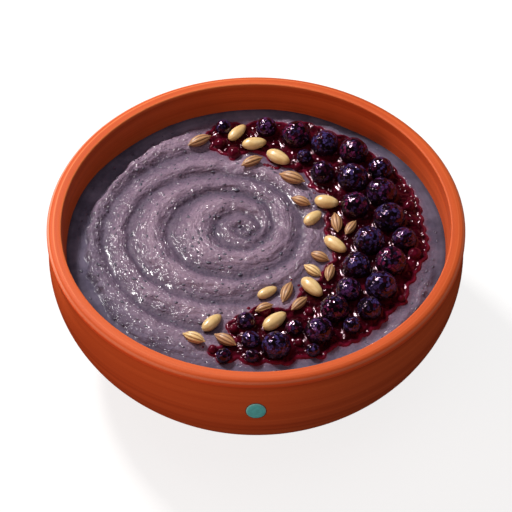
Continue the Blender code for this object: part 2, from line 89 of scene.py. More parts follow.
# Rings that throwing left on the walls: their depth, sizes with seeds, and where they start
THROWING_RELIEF = 0.035 * MM
THROWING_RINGS = ((1.3 * MM, 3), (4 * MM, 9))
THROWING_SWING = 9 * MM
THROWN_ABOVE = 4 * MM
THROWN_OUTSIDE = 50 * MM

# Painted highlight lines along the rim's creases, strongest on the lit far-left side: radius, half width,
# strength and colour
RIM_HIGHLIGHT_LINES = (
    (RIM_RADIUS - RIM_WIDTH + 0.35 * MM, 0.4 * MM, 0.5, (0.8, 0.24, 0.08)),
    (RIM_RADIUS - SHOULDER_WIDTH - OUTER_BAND_WIDTH, 0.35 * MM, 0.5, (0.82, 0.27, 0.1)),
    (RIM_RADIUS - 0.6 * MM, 0.5 * MM, 0.6, (0.9, 0.5, 0.36)),
)
PAINTED_LIGHT_EASE = 0.2 * MM

# Painted dot, and its section from the middle outwards: share of its size, share of its relief
DOT_SIDES = 64
DOT_WIDTH = 7.8 * MM
DOT_HEIGHT = 9.2 * MM
DOT_CENTRE_HEIGHT = 50.5 * MM
DOT_RELIEF = 0.4 * MM
DOT_SECTION = (
    (0, 1), (0.3, 1), (0.6, 0.98), (0.8, 0.9), (0.88, 0.78), (0.93, 0.6), (0.97, 0.35), (1.0, 0.12),
    (1.06, 0.05), (1.1, -0.3),
)
DOT_EDGE_RING = 3
DOT_OUTLINE_RING = 6

# Mush; a pair of lengths says between which radii, or how far into the pit, something sets in
MUSH_CELLS = 292
MUSH_LEVEL = 53.2 * MM
MUSH_WALL_STEPS = 24
MUSH_WALL_REACH = 0.25 * MM
MUSH_WALL_DROP = 2 * MM
PIT_GAP = 0.3 * MM
PIT_EDGE = (0.5 * MM, 1.6 * MM)
STIRRED_RISE = 0.3 * MM
STIRRED_RADIUS = 69.5 * MM
STIRRED_REACH = 4.5 * MM
STIRRED_REACH_SPAN = (-0.9, 0.3)
STIRRED_SLOPE = 3.2 * MM
WALL_RISE = 0.5 * MM
WALL_RISE_SPAN = (75 * MM, 78 * MM)
EDGE_WAVE = 0.45 * MM
EDGE_WAVE_SPAN = (70 * MM, 78 * MM)
WAVER = 0.7 * MM
WAVER_SIZE = 6 * MM
RIDGE_STEEPNESS = 0.175
RIDGE_MOST = 2.7 * MM
RIDGE_LEAN = 0.75
RIDGE_SHARPNESS = 1.6
CALM_FACTOR = 0.25
CALM_WIDTH = 9 * MM

# Swirl: its eye, and the groove's distances from it in millimetres, a quarter turn apart
EYE = np.array((-5, 7)) * MM
FIRST_QUARTER = -8
GROOVE_DISTANCES = (
    1.5, 2, 3, 4, 6, 10, 12, 10, 11.5, 21, 31.5, 26, 24, 31, 48, 39.5, 36,
    46, 58, 56, 52, 62, 74, 76, 78, 84, 92, 96, 100, 104, 108, 112,
)
TURNS = 8

# Lobes and fraying of the swirl's edge: reach, number in a radian and seed
EDGE_LOBES = ((2.2 * MM, 6, 25), (0.9 * MM, 15, 26))
EDGE_LOBES_MEAN = 1.1 * MM
EDGE_SWELL = 0.4 * MM
EDGE_SWELLS = 7
EDGE_FRAY = (0.3 * MM, 26, 27)
EDGE_LIP = 0.1 * MM
EDGE_LIP_INSET = 3 * MM
EDGE_LIP_WIDTH = 2.2 * MM

# Fine relief of the mush: height, size along and across the swirl, or one size, and seed
STREAKS = ((0.32 * MM, 11 * MM, 2.4 * MM, 21), (0.16 * MM, 5 * MM, 1.3 * MM, 22))
LUMPS = ((0.25 * MM, 4 * MM, 31), (0.12 * MM, 2 * MM, 32), (0.08 * MM, 1.2 * MM, 41))
CURDS = (0.6 * MM, 2.1 * MM, 33)
CURDS_WIDTH = 14 * MM
CURDS_EASE = 4 * MM
CURDS_GAP = 2 * MM
CALM_REACH = 8 * MM

# Ripple of the ring that wasn't stirred: height, number in a radian, size outwards and seed
RIPPLE = (0.12 * MM, 14, 2.2 * MM, 51)

# Stain that the jam leaves along its edge
STAIN_SIZE = 4 * MM
STAIN_WIDTH = 0.4 * MM

# How smooth the mush is from one radius to another: in the ring round the swirl, at the wall, and
# at its front, where it runs out softly. The same marks paint shade darker along the wall and over the
# front-left
RING_SMOOTHNESS = 0.7
RING_SPAN = (75 * MM, 77.5 * MM)
WALL_SMOOTHNESS_AND_SHADE = 0.9
WALL_SPAN = (70 * MM, 75.5 * MM)
FRONT_SMOOTHNESS_AND_SHADE = ((0.6, 57 * MM, 70 * MM), (0.35, 69 * MM, 74 * MM))
FRONT_DIRECTION = (-0.5, -0.87)
FRONT_SPAN = (-0.2, 0.8)
FRONT_CURDS = 0.4

# Dark flakes in the mush: half lengths in millimetres, widths as shares of these, the share of
# flakes that are drawn out longer, and the distance kept from the jam
SPECKS = 700
SPECK_SEED = 5
SPECK_SPREAD = 76 * MM
SPECK_LENGTHS = (0.35, 0.95)
SPECK_WIDTHS = (0.4, 0.8)
SPECK_SKEW = 0.5
LONG_SPECKS = 0.15
LONG_SPECK_STRETCH = 1.5
SPECK_THICKNESS = 0.14 * MM
SPECK_LIFT = 0.05 * MM
SPECK_GAP = 1.5 * MM

# Compote; a pair of lengths says how far from its edge or from a berry something begins and is full
JAM_LEVEL = 54.9 * MM
JAM_DEPTH = 8.6 * MM
OUTLINE_STEPS = 12
OUTLINE = (
    (-22, 62), (-17, 69.5), (-11, 71.3), (-6, 69.7), (-1, 70.6), (4, 73.2), (10, 70), (15, 69.6),
    (20, 71), (26, 68.3), (34.5, 63.4), (40.5, 61.7), (46, 57.5), (50, 51), (57, 45.8), (62, 37),
    (66.5, 29), (69, 20.5), (70, 10.5), (71.3, 2), (70.8, -6), (67.5, -12.8), (65, -19.5),
    (62, -25), (61.3, -31.5), (55.5, -36.5), (51.5, -43), (44.5, -49.5), (38, -54.2), (31, -56.2),
    (26.5, -61.5), (18.5, -61.4), (12, -65), (5.5, -64), (-2, -65.2), (-7, -62.6), (-13, -64.2),
    (-17.5, -60.6), (-19.8, -57), (-15.5, -55.2), (-9, -52.2), (-12.2, -46.5), (-9.5, -40.8),
    (-3, -37.2), (3, -32.6), (8, -35.4), (13.5, -34.8), (17, -29), (18, -24.5), (25.5, -19.6),
    (27, -14.5), (31, -9.5), (31, -3), (28.6, 4), (28.6, 12), (28.6, 19), (29, 27), (22.5, 32),
    (21.8, 38), (15, 42.5), (6.5, 46.6), (1, 52), (-5.5, 51.5), (-9.4, 47.4), (-14, 51),
    (-19.5, 54.6), (-20, 58.8),
)
OUTLINE_LOBES = 39
OUTLINE_LOBE_DEPTH = 1.1
OUTLINE_LOBE_MEAN = 0.5
JAM_GRID = 0.5 * MM
JAM_BEAD = 1.5 * MM
JAM_BEAD_FOOT = 0.6 * MM
JAM_BEAD_TOP = 0.8 * MM
JAM_SINK = 0.35 * MM
JAM_RISE = (1.5 * MM, 5 * MM)
JAM_FURROW = 0.35 * MM
JAM_FURROW_INSET = 2.4 * MM
JAM_FURROW_WIDTH = 0.6 * MM
JAM_CLIMB = 0.7 * MM
JAM_CLIMB_WIDTH = 0.5 * MM
JAM_THICK = (0.5 * MM, 2.2 * MM)
JAM_STILL = (0.6 * MM, 1.8 * MM)
PULP_HEIGHT = 0.6 * MM
PULP_SIZE = 2.3 * MM
PULP_EASE = (0.5 * MM, 3 * MM)
BERRY_RING_GAPS = (-0.6, 0, 0.25, 0.5, 0.8, 1.15)
BERRY_RING_REACH = 1.3 * MM
BERRY_RING_SUNK = 0.7 * MM

# Jam-coated berries too small to stand alone: x, y and radius in millimetres
BEADS = (
    (65, -6.6, 2.9), (64, 20, 2.6), (21.3, -37.9, 1.9), (17, -54, 1.9), (-17.2, -57.6, 2),
    (-15.6, 56.5, 2.6), (-9.4, 51, 2.9), (17.6, 43, 1.9), (58.6, -31, 1.7), (-9, -47, 2),
    (3.3, -37, 3),
)
BEAD_SUNK = 0.1
BEAD_FLATNESS = 0.95

# Loose drips of jam on the mush: x, y and radius in millimetres
DRIPS = (
    (3.6, 44, 0.9), (4.8, 43.8, 1.1), (6, 43.6, 0.8), (6.8, 42.8, 0.8), (7.8, 42.3, 0.9),
    (8.9, 42.6, 0.9), (9.7, 43.5, 0.8), (9.6, 44.6, 0.7), (-3, -35.5, 0.8), (24.5, 28.6, 0.6),
    (14.3, -20.5, 0.5), (17.4, -22.8, 0.6), (-21, -56, 0.5), (-22.4, -54.6, 0.4),
)
DRIP_FLATNESS = 0.5
DROP_BULGE = 0.07
DROP_BULGES = 1.6

# Whole berries: depth and number of dents and folds, and crinkles of the cooked skin
BERRIES = [name for name in sorted(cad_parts) if name.startswith("berry_")]
BERRY_SUBDIVISIONS = 5
BERRY_DENT = 0.03
BERRY_DENTS = 1.1
BERRY_FOLD = 0.03
BERRY_FOLDS = 2.6
BERRY_CRINKLE = 0.14 * MM
BERRY_CRINKLE_SIZE = 1.5 * MM

# Pine nuts: how much the blunt end is wider, and how full the middle is
NUTS = [name for name in sorted(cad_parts) if name.startswith("pine_nut_")]
NUT_TAPER = 0.14
NUT_FULLNESS = 0.04
NUT_LINES = 4

# Ribbed seeds: the number of ribs, and shares of the width or of the half length
SEED_THICKNESS = 0.85
SEED_SUNK = 0.2
SEED_RIBS = 8
SEED_RIB_DEPTH = 0.12
SEED_BEND = 0.04
SEED_BODY_END = 0.9
SEED_STUB = 0.24
SEED_FAR_STUB = 0.8

# Seeds: x, y, heading in degrees, length and width in millimetres, and the numbers of yellow ones
MUSH_SEEDS = (
    (-24.1, 56.9, 30, 11.4, 5), (-1.7, 44, 28, 10.3, 4.7), (15.2, 34.4, -23, 11.9, 5.6),
    (18.8, 21.4, -26, 9, 4.4), (26, -8.3, -27, 9, 4.6), (23.1, -15.8, -40, 9.3, 4.5),
    (12.5, -27.9, 72, 11.7, 4.7), (-24.6, -53.3, -25, 10.1, 4.8),
)
JAM_SEEDS = (
    (33.2, 9.5, -84, 11, 4.8), (39.2, 6.8, 60, 9.2, 3.9), (30.1, -18, 78, 9.7, 4.2),
    (17.4, -34.7, 47, 9.5, 4.2), (-12.2, -53.7, -33, 10.6, 4.7), (3.3, -37, 25, 8, 4.3),
)
YELLOW_SEEDS = (5, 7)

# Camera and light
VIEW_ELEVATION = radians(48.1)
VIEW_DISTANCE = 1.0
VIEW_TARGET = Vector((0, 0, 45.9 * MM))
LENS = 169.6
STAGE_RADIUS = 4.0
AMBIENT = 0.22
AMBIENT_COLOUR = (1, 0.74, 0.62, 1)

# Lamps: name, direction from the bowl, distance, size, watts, colour, whether it lights and glints
LAMPS = (
    ("key", (-0.41, 0.51, 0.75), 1.4, 0.2, 21.5, (1, 0.985, 0.95), True, True),
    ("left_fill", (-0.82, -0.47, 0.26), 2.0, 1.2, 13.8, (1, 0.62, 0.45), True, False),
    ("top_fill", (0.1, 0, 1), 1.5, 1.2, 4.6, (0.82, 0.92, 1), True, False),
    ("sparkle", (-0.6, 0.3, 0.74), 1.5, 0.16, 6.0, (1, 1, 1), False, True),
)


# Small mathematics


def smooth_step(low, high, value):
    """0 at low, 1 at high, with an even ease between."""
    t = np.clip((value - low) / (high - low), 0, 1)
    return t * t * (3 - 2 * t)


def spline(values, position):
    """The Catmull-Rom curve through evenly spaced values, at positions counted in values."""
    values = np.asarray(values, float)
    index = np.clip(np.floor(position).astype(int), 1, len(values) - 3)
    t = position - index
    a, b, c, d = (values[index + shift] for shift in (-1, 0, 1, 2))
    return b + 0.5 * t * (c - a + t * (2 * a - 5 * b + 4 * c - d + t * (3 * (b - c) + d - a)))


def lattice(x, y, seed):
    """A repeatable value from -1 to 1 for each pair of whole numbers."""
    mixed = (x * 374761393 + y * 668265263 + seed * 362437) & 0xFFFFFFFF
    mixed = ((mixed ^ (mixed >> 13)) * 1274126177) & 0xFFFFFFFF
    return (mixed ^ (mixed >> 16)) / 2147483647.5 - 1


def wander(x, y, seed):
    """Smooth noise, mostly from -1 to 1, with features of size 1."""
    low_x = np.floor(x).astype(np.int64)
    low_y = np.floor(y).astype(np.int64)
    along = x - low_x
    up = y - low_y

    def slope(right, above):
        turn = lattice(low_x + right, low_y + above, seed) * pi
        return np.cos(turn) * (along - right) + np.sin(turn) * (up - above)

    u = smooth_step(0, 1, along)
    v = smooth_step(0, 1, up)
    low = slope(0, 0) * (1 - u) + slope(1, 0) * u
    high = slope(0, 1) * (1 - u) + slope(1, 1) * u
    return 1.6 * (low * (1 - v) + high * v)


# Meshes


def add_object(name, data):
    item = bpy.data.objects.new(name, data)
    bpy.context.scene.collection.objects.link(item)
    return item


def add_piece(name, mesh, material, slot, *nodes):
    """A shown piece that stands for the named nodes and moves with the bowl."""
    piece = add_object(name, mesh)
    mesh.materials.append(material)
    mesh.shade_smooth()
    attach(piece, "root")
    if nodes:
        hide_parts(*nodes)


def mesh_of(name, points, faces):
    mesh = bpy.data.meshes.new(name)
    mesh.from_pydata([tuple(point) for point in points], [], [tuple(face) for face in faces])
    mesh.update()
    return mesh


def add_attribute(mesh, name, values):
    attribute = mesh.attributes.new(name, "FLOAT", "POINT")
    attribute.data.foreach_set("value", np.asarray(values, np.float32))


def joined(name, parts):
    """One mesh from several lists of points and faces."""
    points = []
    faces = []
    for part_points, part_faces in parts:
        start = len(points)
        points.extend(part_points)
        faces.extend([start + index for index in face] for face in part_faces)
    return mesh_of(name, points, faces)


def laid(place, heading, points):
    """Points turned by a heading about the Z axis and moved to a place."""
    rotation = Matrix.Rotation(heading, 3, "Z")
    return [place + rotation @ Vector(point) for point in points]


def sphere(sides, rings):
    """Points and faces of a unit sphere with its poles on the X axis."""
    points = [(-1.0, 0.0, 0.0)]
    for ring in range(1, rings):
        along = -cos(pi * ring / rings)
        across = sin(pi * ring / rings)
        for side in range(sides):
            turn = tau * side / sides
            points.append((along, across * cos(turn), across * sin(turn)))
    points.append((1.0, 0.0, 0.0))
    last = len(points) - 1
    faces = [(0, 1 + (side + 1) % sides, 1 + side) for side in range(sides)]
    for ring in range(rings - 2):
        start = 1 + ring * sides
        for side in range(sides):
            after = (side + 1) % sides
            faces.append((start + side, start + after, start + sides + after, start + sides + side))
    start = last - sides
    faces.extend((last, start + side, start + (side + 1) % sides) for side in range(sides))
    return points, faces


# Materials


class Finish:
    """A material whose nodes are added one call at a time."""

    def __init__(self, name):
        self.material = bpy.data.materials.new(name)
        self.material.use_nodes = True
        self.tree = self.material.node_tree
        self.shader = self.tree.nodes["Principled BSDF"]

    def put(self, socket, value):
        if isinstance(value, bpy.types.NodeSocket):
            self.tree.links.new(value, socket)
        else:
            socket.default_value = value

    def fill(self, node, inputs):
        for key, value in inputs.items():
            self.put(node.inputs[key.replace("_", " ")], value)

    def add(self, kind, settings=None, **inputs):
        """A node with its settings and its inputs: values, or other nodes' outputs."""
        node = self.tree.nodes.new(kind)
        for key, value in (settings or {}).items():
            setattr(node, key, value)
        self.fill(node, inputs)
        return node

    def shade(self, **inputs):
        """The finished material, with these inputs of its shader."""
        self.fill(self.shader, inputs)
        return self.material

    def math(self, operation, first, second=0.0):
        node = self.add("ShaderNodeMath", {"operation": operation})
        self.put(node.inputs[0], first)
        self.put(node.inputs[1], second)
        return node.outputs[0]

    def times(self, first, *others):
        """The product of numbers that vary over the surface."""
        for other in others:
            first = self.math("MULTIPLY", first, other)
        return first

    def weighed(self, *terms):
        """The sum of (number, weight) pairs."""
        products = [self.times(value, weight) for value, weight in terms]
        total = products[0]
        for product in products[1:]:
            total = self.math("ADD", total, product)
        return total

    def stretched(self, vector, scale, shift):
        """A vector times a scale, plus a shift."""
        node = self.add("ShaderNodeVectorMath", {"operation": "MULTIPLY_ADD"})
        for socket, value in zip(node.inputs, (vector, scale, shift)):
            self.put(socket, value)
        return node.outputs[0]

    def place(self):
        """The point's place in metres."""
        return self.add("ShaderNodeTexCoord").outputs["Object"]

    def vector(self, **parts):
        return self.add("ShaderNodeCombineXYZ", **parts).outputs[0]

    def noise(self, vector, scale, detail=4.0, roughness=0.55, distortion=0.0, output="Fac"):
        node = self.add(
            "ShaderNodeTexNoise",
            Vector=vector, Scale=scale, Detail=detail, Roughness=roughness, Distortion=distortion,
        )
        return node.outputs[output]

    def cells(self, vector, scale, feature="F1", output="Distance"):
        node = self.add("ShaderNodeTexVoronoi", {"feature": feature}, Vector=vector, Scale=scale)
        return node.outputs[output]

    def attribute(self, name):
        return self.add("ShaderNodeAttribute", {"attribute_name": name}).outputs["Fac"]

    def ramp(self, factor, *stops):
        """Colours blended along a factor; each stop is (position, colour)."""
        node = self.add("ShaderNodeValToRGB", Fac=factor)
        elements = node.color_ramp.elements
        while len(elements) < len(stops):
            elements.new(0.5)
        for element, (position, colour) in zip(elements, stops):
            element.position = position
            element.color = (*colour, 1)
        return node.outputs["Color"]

    def span(self, factor, low, high, start=0.0, stop=1.0):
        """The factor's stretch from low to high, mapped onto start to stop."""
        node = self.add(
            "ShaderNodeMapRange", {"clamp": True},
            Value=factor, From_Min=low, From_Max=high, To_Min=start, To_Max=stop,
        )
        return node.outputs["Result"]

    def mix(self, factor, first, second):
        node = self.add("ShaderNodeMix", {"data_type": "RGBA"})
        self.put(node.inputs[0], factor)
        for socket, value in ((node.inputs[6], first), (node.inputs[7], second)):
            self.put(socket, value if isinstance(value, bpy.types.NodeSocket) else (*value, 1))
        return node.outputs[2]

    def bump(self, height, distance, strength=1.0, normal=None):
        node = self.add("ShaderNodeBump", Height=height, Distance=distance, Strength=strength)
        if normal:
            self.put(node.inputs["Normal"], normal)
        return node.outputs["Normal"]


def clay_finish():
    """Unglazed red earthenware with the fine streaks that turning leaves, a painted paler band on the lip and
    painted highlight lines along the rim.
    """
    clay = Finish("red_earthenware")
    place = clay.place()
    x, y, z = clay.add("ShaderNodeSeparateXYZ", Vector=place).outputs
    radius = clay.math("SQRT", clay.math("ADD", clay.times(x, x), clay.times(y, y)))
    level = clay.math("ADD", z, radius)
    slow = {"X": clay.times(x, 6.0), "Y": clay.times(y, 6.0)}
    streaks = clay.noise(clay.vector(**slow, Z=clay.times(level, 420.0)), 1.0, 5.0, 0.6)
    bands = clay.noise(clay.vector(**slow, Z=clay.times(level, 110.0)), 1.0, 3.0, 0.5)
    grain = clay.noise(place, 2600.0, 3.0, 0.6)
    colour = clay.ramp(
        clay.weighed((streaks, 0.55), (bands, 0.45)),
        (0.3, (0.45, 0.06, 0.012)), (0.5, (0.62, 0.102, 0.025)), (0.72, (0.76, 0.15, 0.04)),
    )
    tinted = clay.mix(clay.span(grain, 0.35, 0.7, 0.0, 0.14), colour, (0.3, 0.05, 0.018))
    shoulder_foot = BOWL_HEIGHT - OUTER_BAND_FALL - SHOULDER_FALL
    lip_foot = BOWL_HEIGHT - LIP_DEPTH
    on_rim = clay.span(z, shoulder_foot, shoulder_foot + PAINTED_LIGHT_EASE)
    # Painted light: a paler band down the lip's outer face
    lip_highlight = clay.times(
        clay.span(z, lip_foot, lip_foot + PAINTED_LIGHT_EASE),
        clay.math("SUBTRACT", 1.0, on_rim),
        clay.span(radius, RIM_RADIUS - MM, RIM_RADIUS, 0.0, 0.7),
    )
    tinted = clay.mix(lip_highlight, tinted, (0.9, 0.12, 0.03))
    # Painted highlights: paler lines along the rim's creases, strongest towards the far left where the key
    # lamp falls
    lit_side = clay.span(clay.math("SUBTRACT", y, x), 0.3 * RIM_RADIUS, RIM_RADIUS, 0.25, 1.0)
    for line_radius, line_width, share, highlight_colour in RIM_HIGHLIGHT_LINES:
        away = clay.math("ABSOLUTE", clay.math("SUBTRACT", radius, line_radius))
        line = clay.span(away, 0.5 * line_width, line_width, share, 0.0)
        tinted = clay.mix(clay.times(line, on_rim, lit_side), tinted, highlight_colour)
    return clay.shade(
        Specular_IOR_Level=0.14,
        Base_Color=tinted,
        Roughness=clay.span(streaks, 0.3, 0.7, 0.46, 0.58),
        Normal=clay.bump(grain, 0.05 * MM, 0.6, clay.bump(streaks, 0.12 * MM, 0.8)),
    )


def dot_finish(name, colour, roughness):
    paint = Finish(name)
    cloud = paint.noise(paint.place(), 700.0, 3.0, 0.6)
    shade = tuple(channel * 0.82 for channel in colour)
    return paint.shade(
        Base_Color=paint.ramp(cloud, (0.35, shade), (0.65, colour)),
        Roughness=roughness,
        Normal=paint.bump(cloud, 0.05 * MM, 0.5),
    )


def mush_finish():
    """Moist blue corn porridge: grainy and mottled, darker in the grooves partly as painted shade, wet on its
    crests, with painted shade along the wall and over its front-left.
    """
    mush = Finish("blue_corn_mush")
    place = mush.place()
    crest = mush.attribute("crest")
    smooth = mush.attribute("smooth")
    cloud = mush.noise(place, 90.0, 4.0, 0.6)
    grain = mush.noise(place, 900.0, 4.0, 0.65)
    # Lighter on the crests and darker in the grooves: partly wetter mush in the grooves, partly painted shade
    tone = mush.weighed((grain, 0.4), (cloud, 0.3), (crest, 0.3))
    colour = mush.ramp(
        tone, (0.3, (0.078, 0.054, 0.092)), (0.52, (0.176, 0.118, 0.18)), (0.75, (0.315, 0.218, 0.3))
    )
    speck = mush.span(mush.cells(place, 620.0), 0.1, 0.24, 0.7, 0.0)
    colour = mush.mix(speck, colour, (0.055, 0.045, 0.095))
    calm = mush.ramp(cloud, (0.38, (0.068, 0.059, 0.096)), (0.62, (0.135, 0.115, 0.173)))
    # The calm colour of the unstirred ring; over the front-left the same mix is painted shade
    colour = mush.mix(mush.span(smooth, 0.0, 0.7, 0.0, 0.88), colour, calm)
    # Painted shade: near black where the mush meets the wall and over its front-left
    colour = mush.mix(mush.span(smooth, 0.8, 1.0, 0.0, 0.6), colour, (0.028, 0.022, 0.036))
    colour = mush.mix(mush.times(mush.attribute("stain"), 0.8), colour, (0.2, 0.022, 0.06))
    flow = mush.vector(X=mush.times(mush.attribute("travel"), 0.4), Y=mush.attribute("across"))
    lumps = mush.noise(flow, 620.0, 2.0, 0.5)
    ridged = mush.span(crest, 0.04, 0.25)
    film = mush.bump(lumps, 0.8 * MM, ridged)
    # The water on the crests lies flatter than the mush below it, so glints show on every ridge.
    normal = mush.add("ShaderNodeNewGeometry").outputs["Normal"]
    levelled = mush.stretched(normal, (0.45, 0.45, 0.45), (0, 0, 0.55))
    droplets = mush.bump(lumps, 1.5 * MM, ridged, levelled)
    wet = mush.span(mush.noise(place, 260.0, 2.0, 0.5), 0.36, 0.56, 0.2, 0.6)
    return mush.shade(
        Base_Color=colour,
        Roughness=mush.span(smooth, 0.1, 0.5, 0.62, 0.95),
        Specular_IOR_Level=0.2,
        Normal=mush.bump(grain, 0.35 * MM, mush.span(smooth, 0.0, 1.0, 1.0, 0.25), film),
        Coat_Weight=mush.times(wet, mush.span(smooth, 0.3, 0.7, 1.0, 0.04)),
        Coat_Roughness=0.15,
        Coat_Normal=droplets,
    )


def jam_finish():
    """Wet dark crimson compote, brighter where it is thin."""
    jam = Finish("berry_compote")
    place = jam.place()
    cloud = jam.noise(place, 260.0, 4.0, 0.6, 0.6)
    colour = jam.ramp(
        cloud, (0.35, (0.01, 0.0005, 0.0015)), (0.52, (0.03, 0.001, 0.004)), (0.72, (0.075, 0.003, 0.011))
    )
    thin = jam.ramp(cloud, (0.35, (0.07, 0.003, 0.01)), (0.65, (0.17, 0.008, 0.03)))
    ripple = jam.noise(place, 460.0, 0.5, 0.5, 0.3)
    return jam.shade(
        Base_Color=jam.mix(jam.attribute("thick"), thin, colour),
        Roughness=0.13,
        Specular_IOR_Level=0.32,
        Specular_Tint=(1, 0.66, 0.78, 1),
        Normal=jam.bump(ripple, 0.45 * MM, jam.attribute("rippled")),
    )


def berry_finish(name, tint):
    """Cooked dark berry skin: indigo and wine patches with near-black creases, and painted shade on its lower
    part.
    """
    skin = Finish(name)
    place = skin.place()
    push = skin.noise(place, 700.0, 2.0, 0.5, output="Color")
    drift = skin.stretched(push, (0.9 * MM, 0.9 * MM, 0.9 * MM), place)
    colour = skin.ramp(
        skin.cells(drift, 780.0, output="Color"),
        (0.32, (0.005, 0.002, 0.004)),
        (0.4, (0.05, 0.004, 0.018)),
        (0.48, (0.006, 0.003, 0.007)),
        (0.62, (0.032, 0.019, 0.075)),
        (0.75, tint),
    )
    creases = skin.span(skin.cells(drift, 780.0, "DISTANCE_TO_EDGE"), 0.0, 0.14, 0.85, 0.0)
    colour = skin.mix(creases, colour, (0.004, 0.002, 0.004))
    # Painted shade: the lower part of each berry darkened towards black
    shaded_below = skin.span(skin.attribute("rise"), 0.05, 0.45, 0.85, 0.0)
    colour = skin.mix(shaded_below, colour, (0.006, 0.001, 0.003))
    return skin.shade(
        Base_Color=colour,
        Roughness=0.1,
        Specular_IOR_Level=0.75,
        Specular_Tint=(1, 0.66, 0.88, 1),
        Normal=skin.bump(skin.noise(place, 800.0, 0.5, 0.5, 0.3), 0.45 * MM),
    )


def nut_finish():
    """Smooth cream-yellow kernel with faint lengthwise lines and a brown tip."""
    nut = Finish("pine_nut")
    cloud = nut.noise(nut.place(), 350.0, 3.0, 0.5)
    colour = nut.ramp(
        cloud, (0.3, (0.67, 0.45, 0.19)), (0.5, (0.75, 0.53, 0.24)), (0.75, (0.82, 0.62, 0.33))
    )
    colour = nut.mix(nut.times(nut.attribute("lines"), 0.35), colour, (0.6, 0.34, 0.11))
    tip = nut.span(nut.attribute("along"), 0.82, 0.97, 0.0, 0.75)
    colour = nut.mix(tip, colour, (0.3, 0.11, 0.03))
    return nut.shade(
        Base_Color=colour,
        Roughness=0.36,
        Normal=nut.bump(cloud, 0.1 * MM, 0.4),
        Coat_Weight=0.35,
        Coat_Roughness=0.2,
    )


def seed_finish(name, dark, light):
    """Dry ribbed seed, dark in its furrows."""
    seed = Finish(name)
    streak = seed.noise(seed.place(), 800.0, 4.0, 0.6)
    tone = seed.weighed((seed.attribute("rib"), 0.7), (streak, 0.3))
    middle = tuple((low + high) / 2 for low, high in zip(dark, light))
    return seed.shade(
        Base_Color=seed.ramp(tone, (0.4, dark), (0.62, middle), (0.82, light)),
        Roughness=0.5,
        Normal=seed.bump(streak, 0.12 * MM, 0.6),
        Coat_Weight=0.2,
        Coat_Roughness=0.25,
    )


def speck_finish():
    speck = Finish("corn_speck")
    cloud = speck.noise(speck.place(), 900.0, 2.0)
    return speck.shade(
        Base_Color=speck.ramp(cloud, (0.3, (0.035, 0.03, 0.06)), (0.7, (0.1, 0.08, 0.13))),
        Roughness=0.45,
    )


# Bowl


def belly(z):
    """Radius of the bowl's outside at height z."""
    from_belly = (z - (BOWL_HEIGHT - BELLY_DEPTH)) / BELLY_HALF_HEIGHT
    return BELLY_RADIUS * sqrt(1 - from_belly**2)


def inner_wall(count):
    """Points (radius, z) of the bowl's inside, from the floor's edge up to just under the rim."""
    top = Vector((RIM_RADIUS - RIM_WIDTH, 0, BOWL_HEIGHT - INNER_TOP_DROP))
    top_handle = Vector((RIM_RADIUS - UPPER_HANDLE_INSET, 0, BOWL_HEIGHT - UPPER_HANDLE_DROP))
    floor_handle = Vector((LOWER_HANDLE_RADIUS, 0, FLOOR_THICKNESS))
    floor_edge = Vector((FLOOR_RADIUS, 0, FLOOR_THICKNESS))
    curve = interpolate_bezier(top, top_handle, floor_handle, floor_edge, count)
    return [(point.x, point.z) for point in reversed(curve)]


def softened(corners, width):
    """The line through the corners, with each inner corner cut off at a width."""
    points = [corners[0]]
    for before, corner, after in zip(corners, corners[1:], corners[2:]):
        for other in (before, after):
            way = Vector(other) - Vector(corner)
            points.append(tuple(Vector(corner) + way.normalized() * width))
    return [*points, corners[-1]]


def rim():
    """Points of the rim: a rounded inner edge, a flat top, a sloping band, a shoulder and a lip."""
    centre = Vector((RIM_RADIUS - RIM_WIDTH + INNER_EDGE, BOWL_HEIGHT - INNER_EDGE))
    edge = []
    for angle in INNER_EDGE_ANGLES:
        edge.append(tuple(centre + INNER_EDGE * Vector((cos(angle), sin(angle)))))
    shoulder = RIM_RADIUS - SHOULDER_WIDTH
    band_foot = BOWL_HEIGHT - OUTER_BAND_FALL
    lip = BOWL_HEIGHT - LIP_DEPTH
    corners = [
        edge[-1],
        (shoulder - OUTER_BAND_WIDTH, BOWL_HEIGHT),
        (shoulder, band_foot),
        (RIM_RADIUS, band_foot - SHOULDER_FALL),
        (RIM_RADIUS, lip),
        (RIM_RADIUS - LIP_UNDERSIDE, lip - LIP_UNDERSIDE_FALL),
    ]
    return edge + softened(corners, CREASE)[1:]


def outer_wall(count):
    """Points of the bowl's outside from under the lip down to the foot."""
    widest = BOWL_HEIGHT - BELLY_DEPTH
    start = asin((widest - (BOWL_HEIGHT - LIP_DEPTH - LIP_STEP)) / BELLY_HALF_HEIGHT)
    stop = asin((widest - FOOT_EDGE) / BELLY_HALF_HEIGHT)
    points = []
    for step in range(count + 1):
        z = widest - BELLY_HALF_HEIGHT * sin(start + (stop - start) * step / count)
        points.append((belly(z), z))
    return points


def foot():
    """Points of the foot ring and of the shallow recess inside it."""
    ring = belly(FOOT_EDGE) - FOOT_EDGE
    inside = ring - FOOT_RING_WIDTH
    return [
        (ring + FOOT_SOFTNESS, FOOT_SOFTNESS / 2), (ring, 0),
        (inside + FOOT_SOFTNESS, 0), (inside, FOOT_SOFTNESS),
        (inside - FOOT_RECESS, FOOT_RECESS), (inside / 2, FOOT_RECESS),
    ]


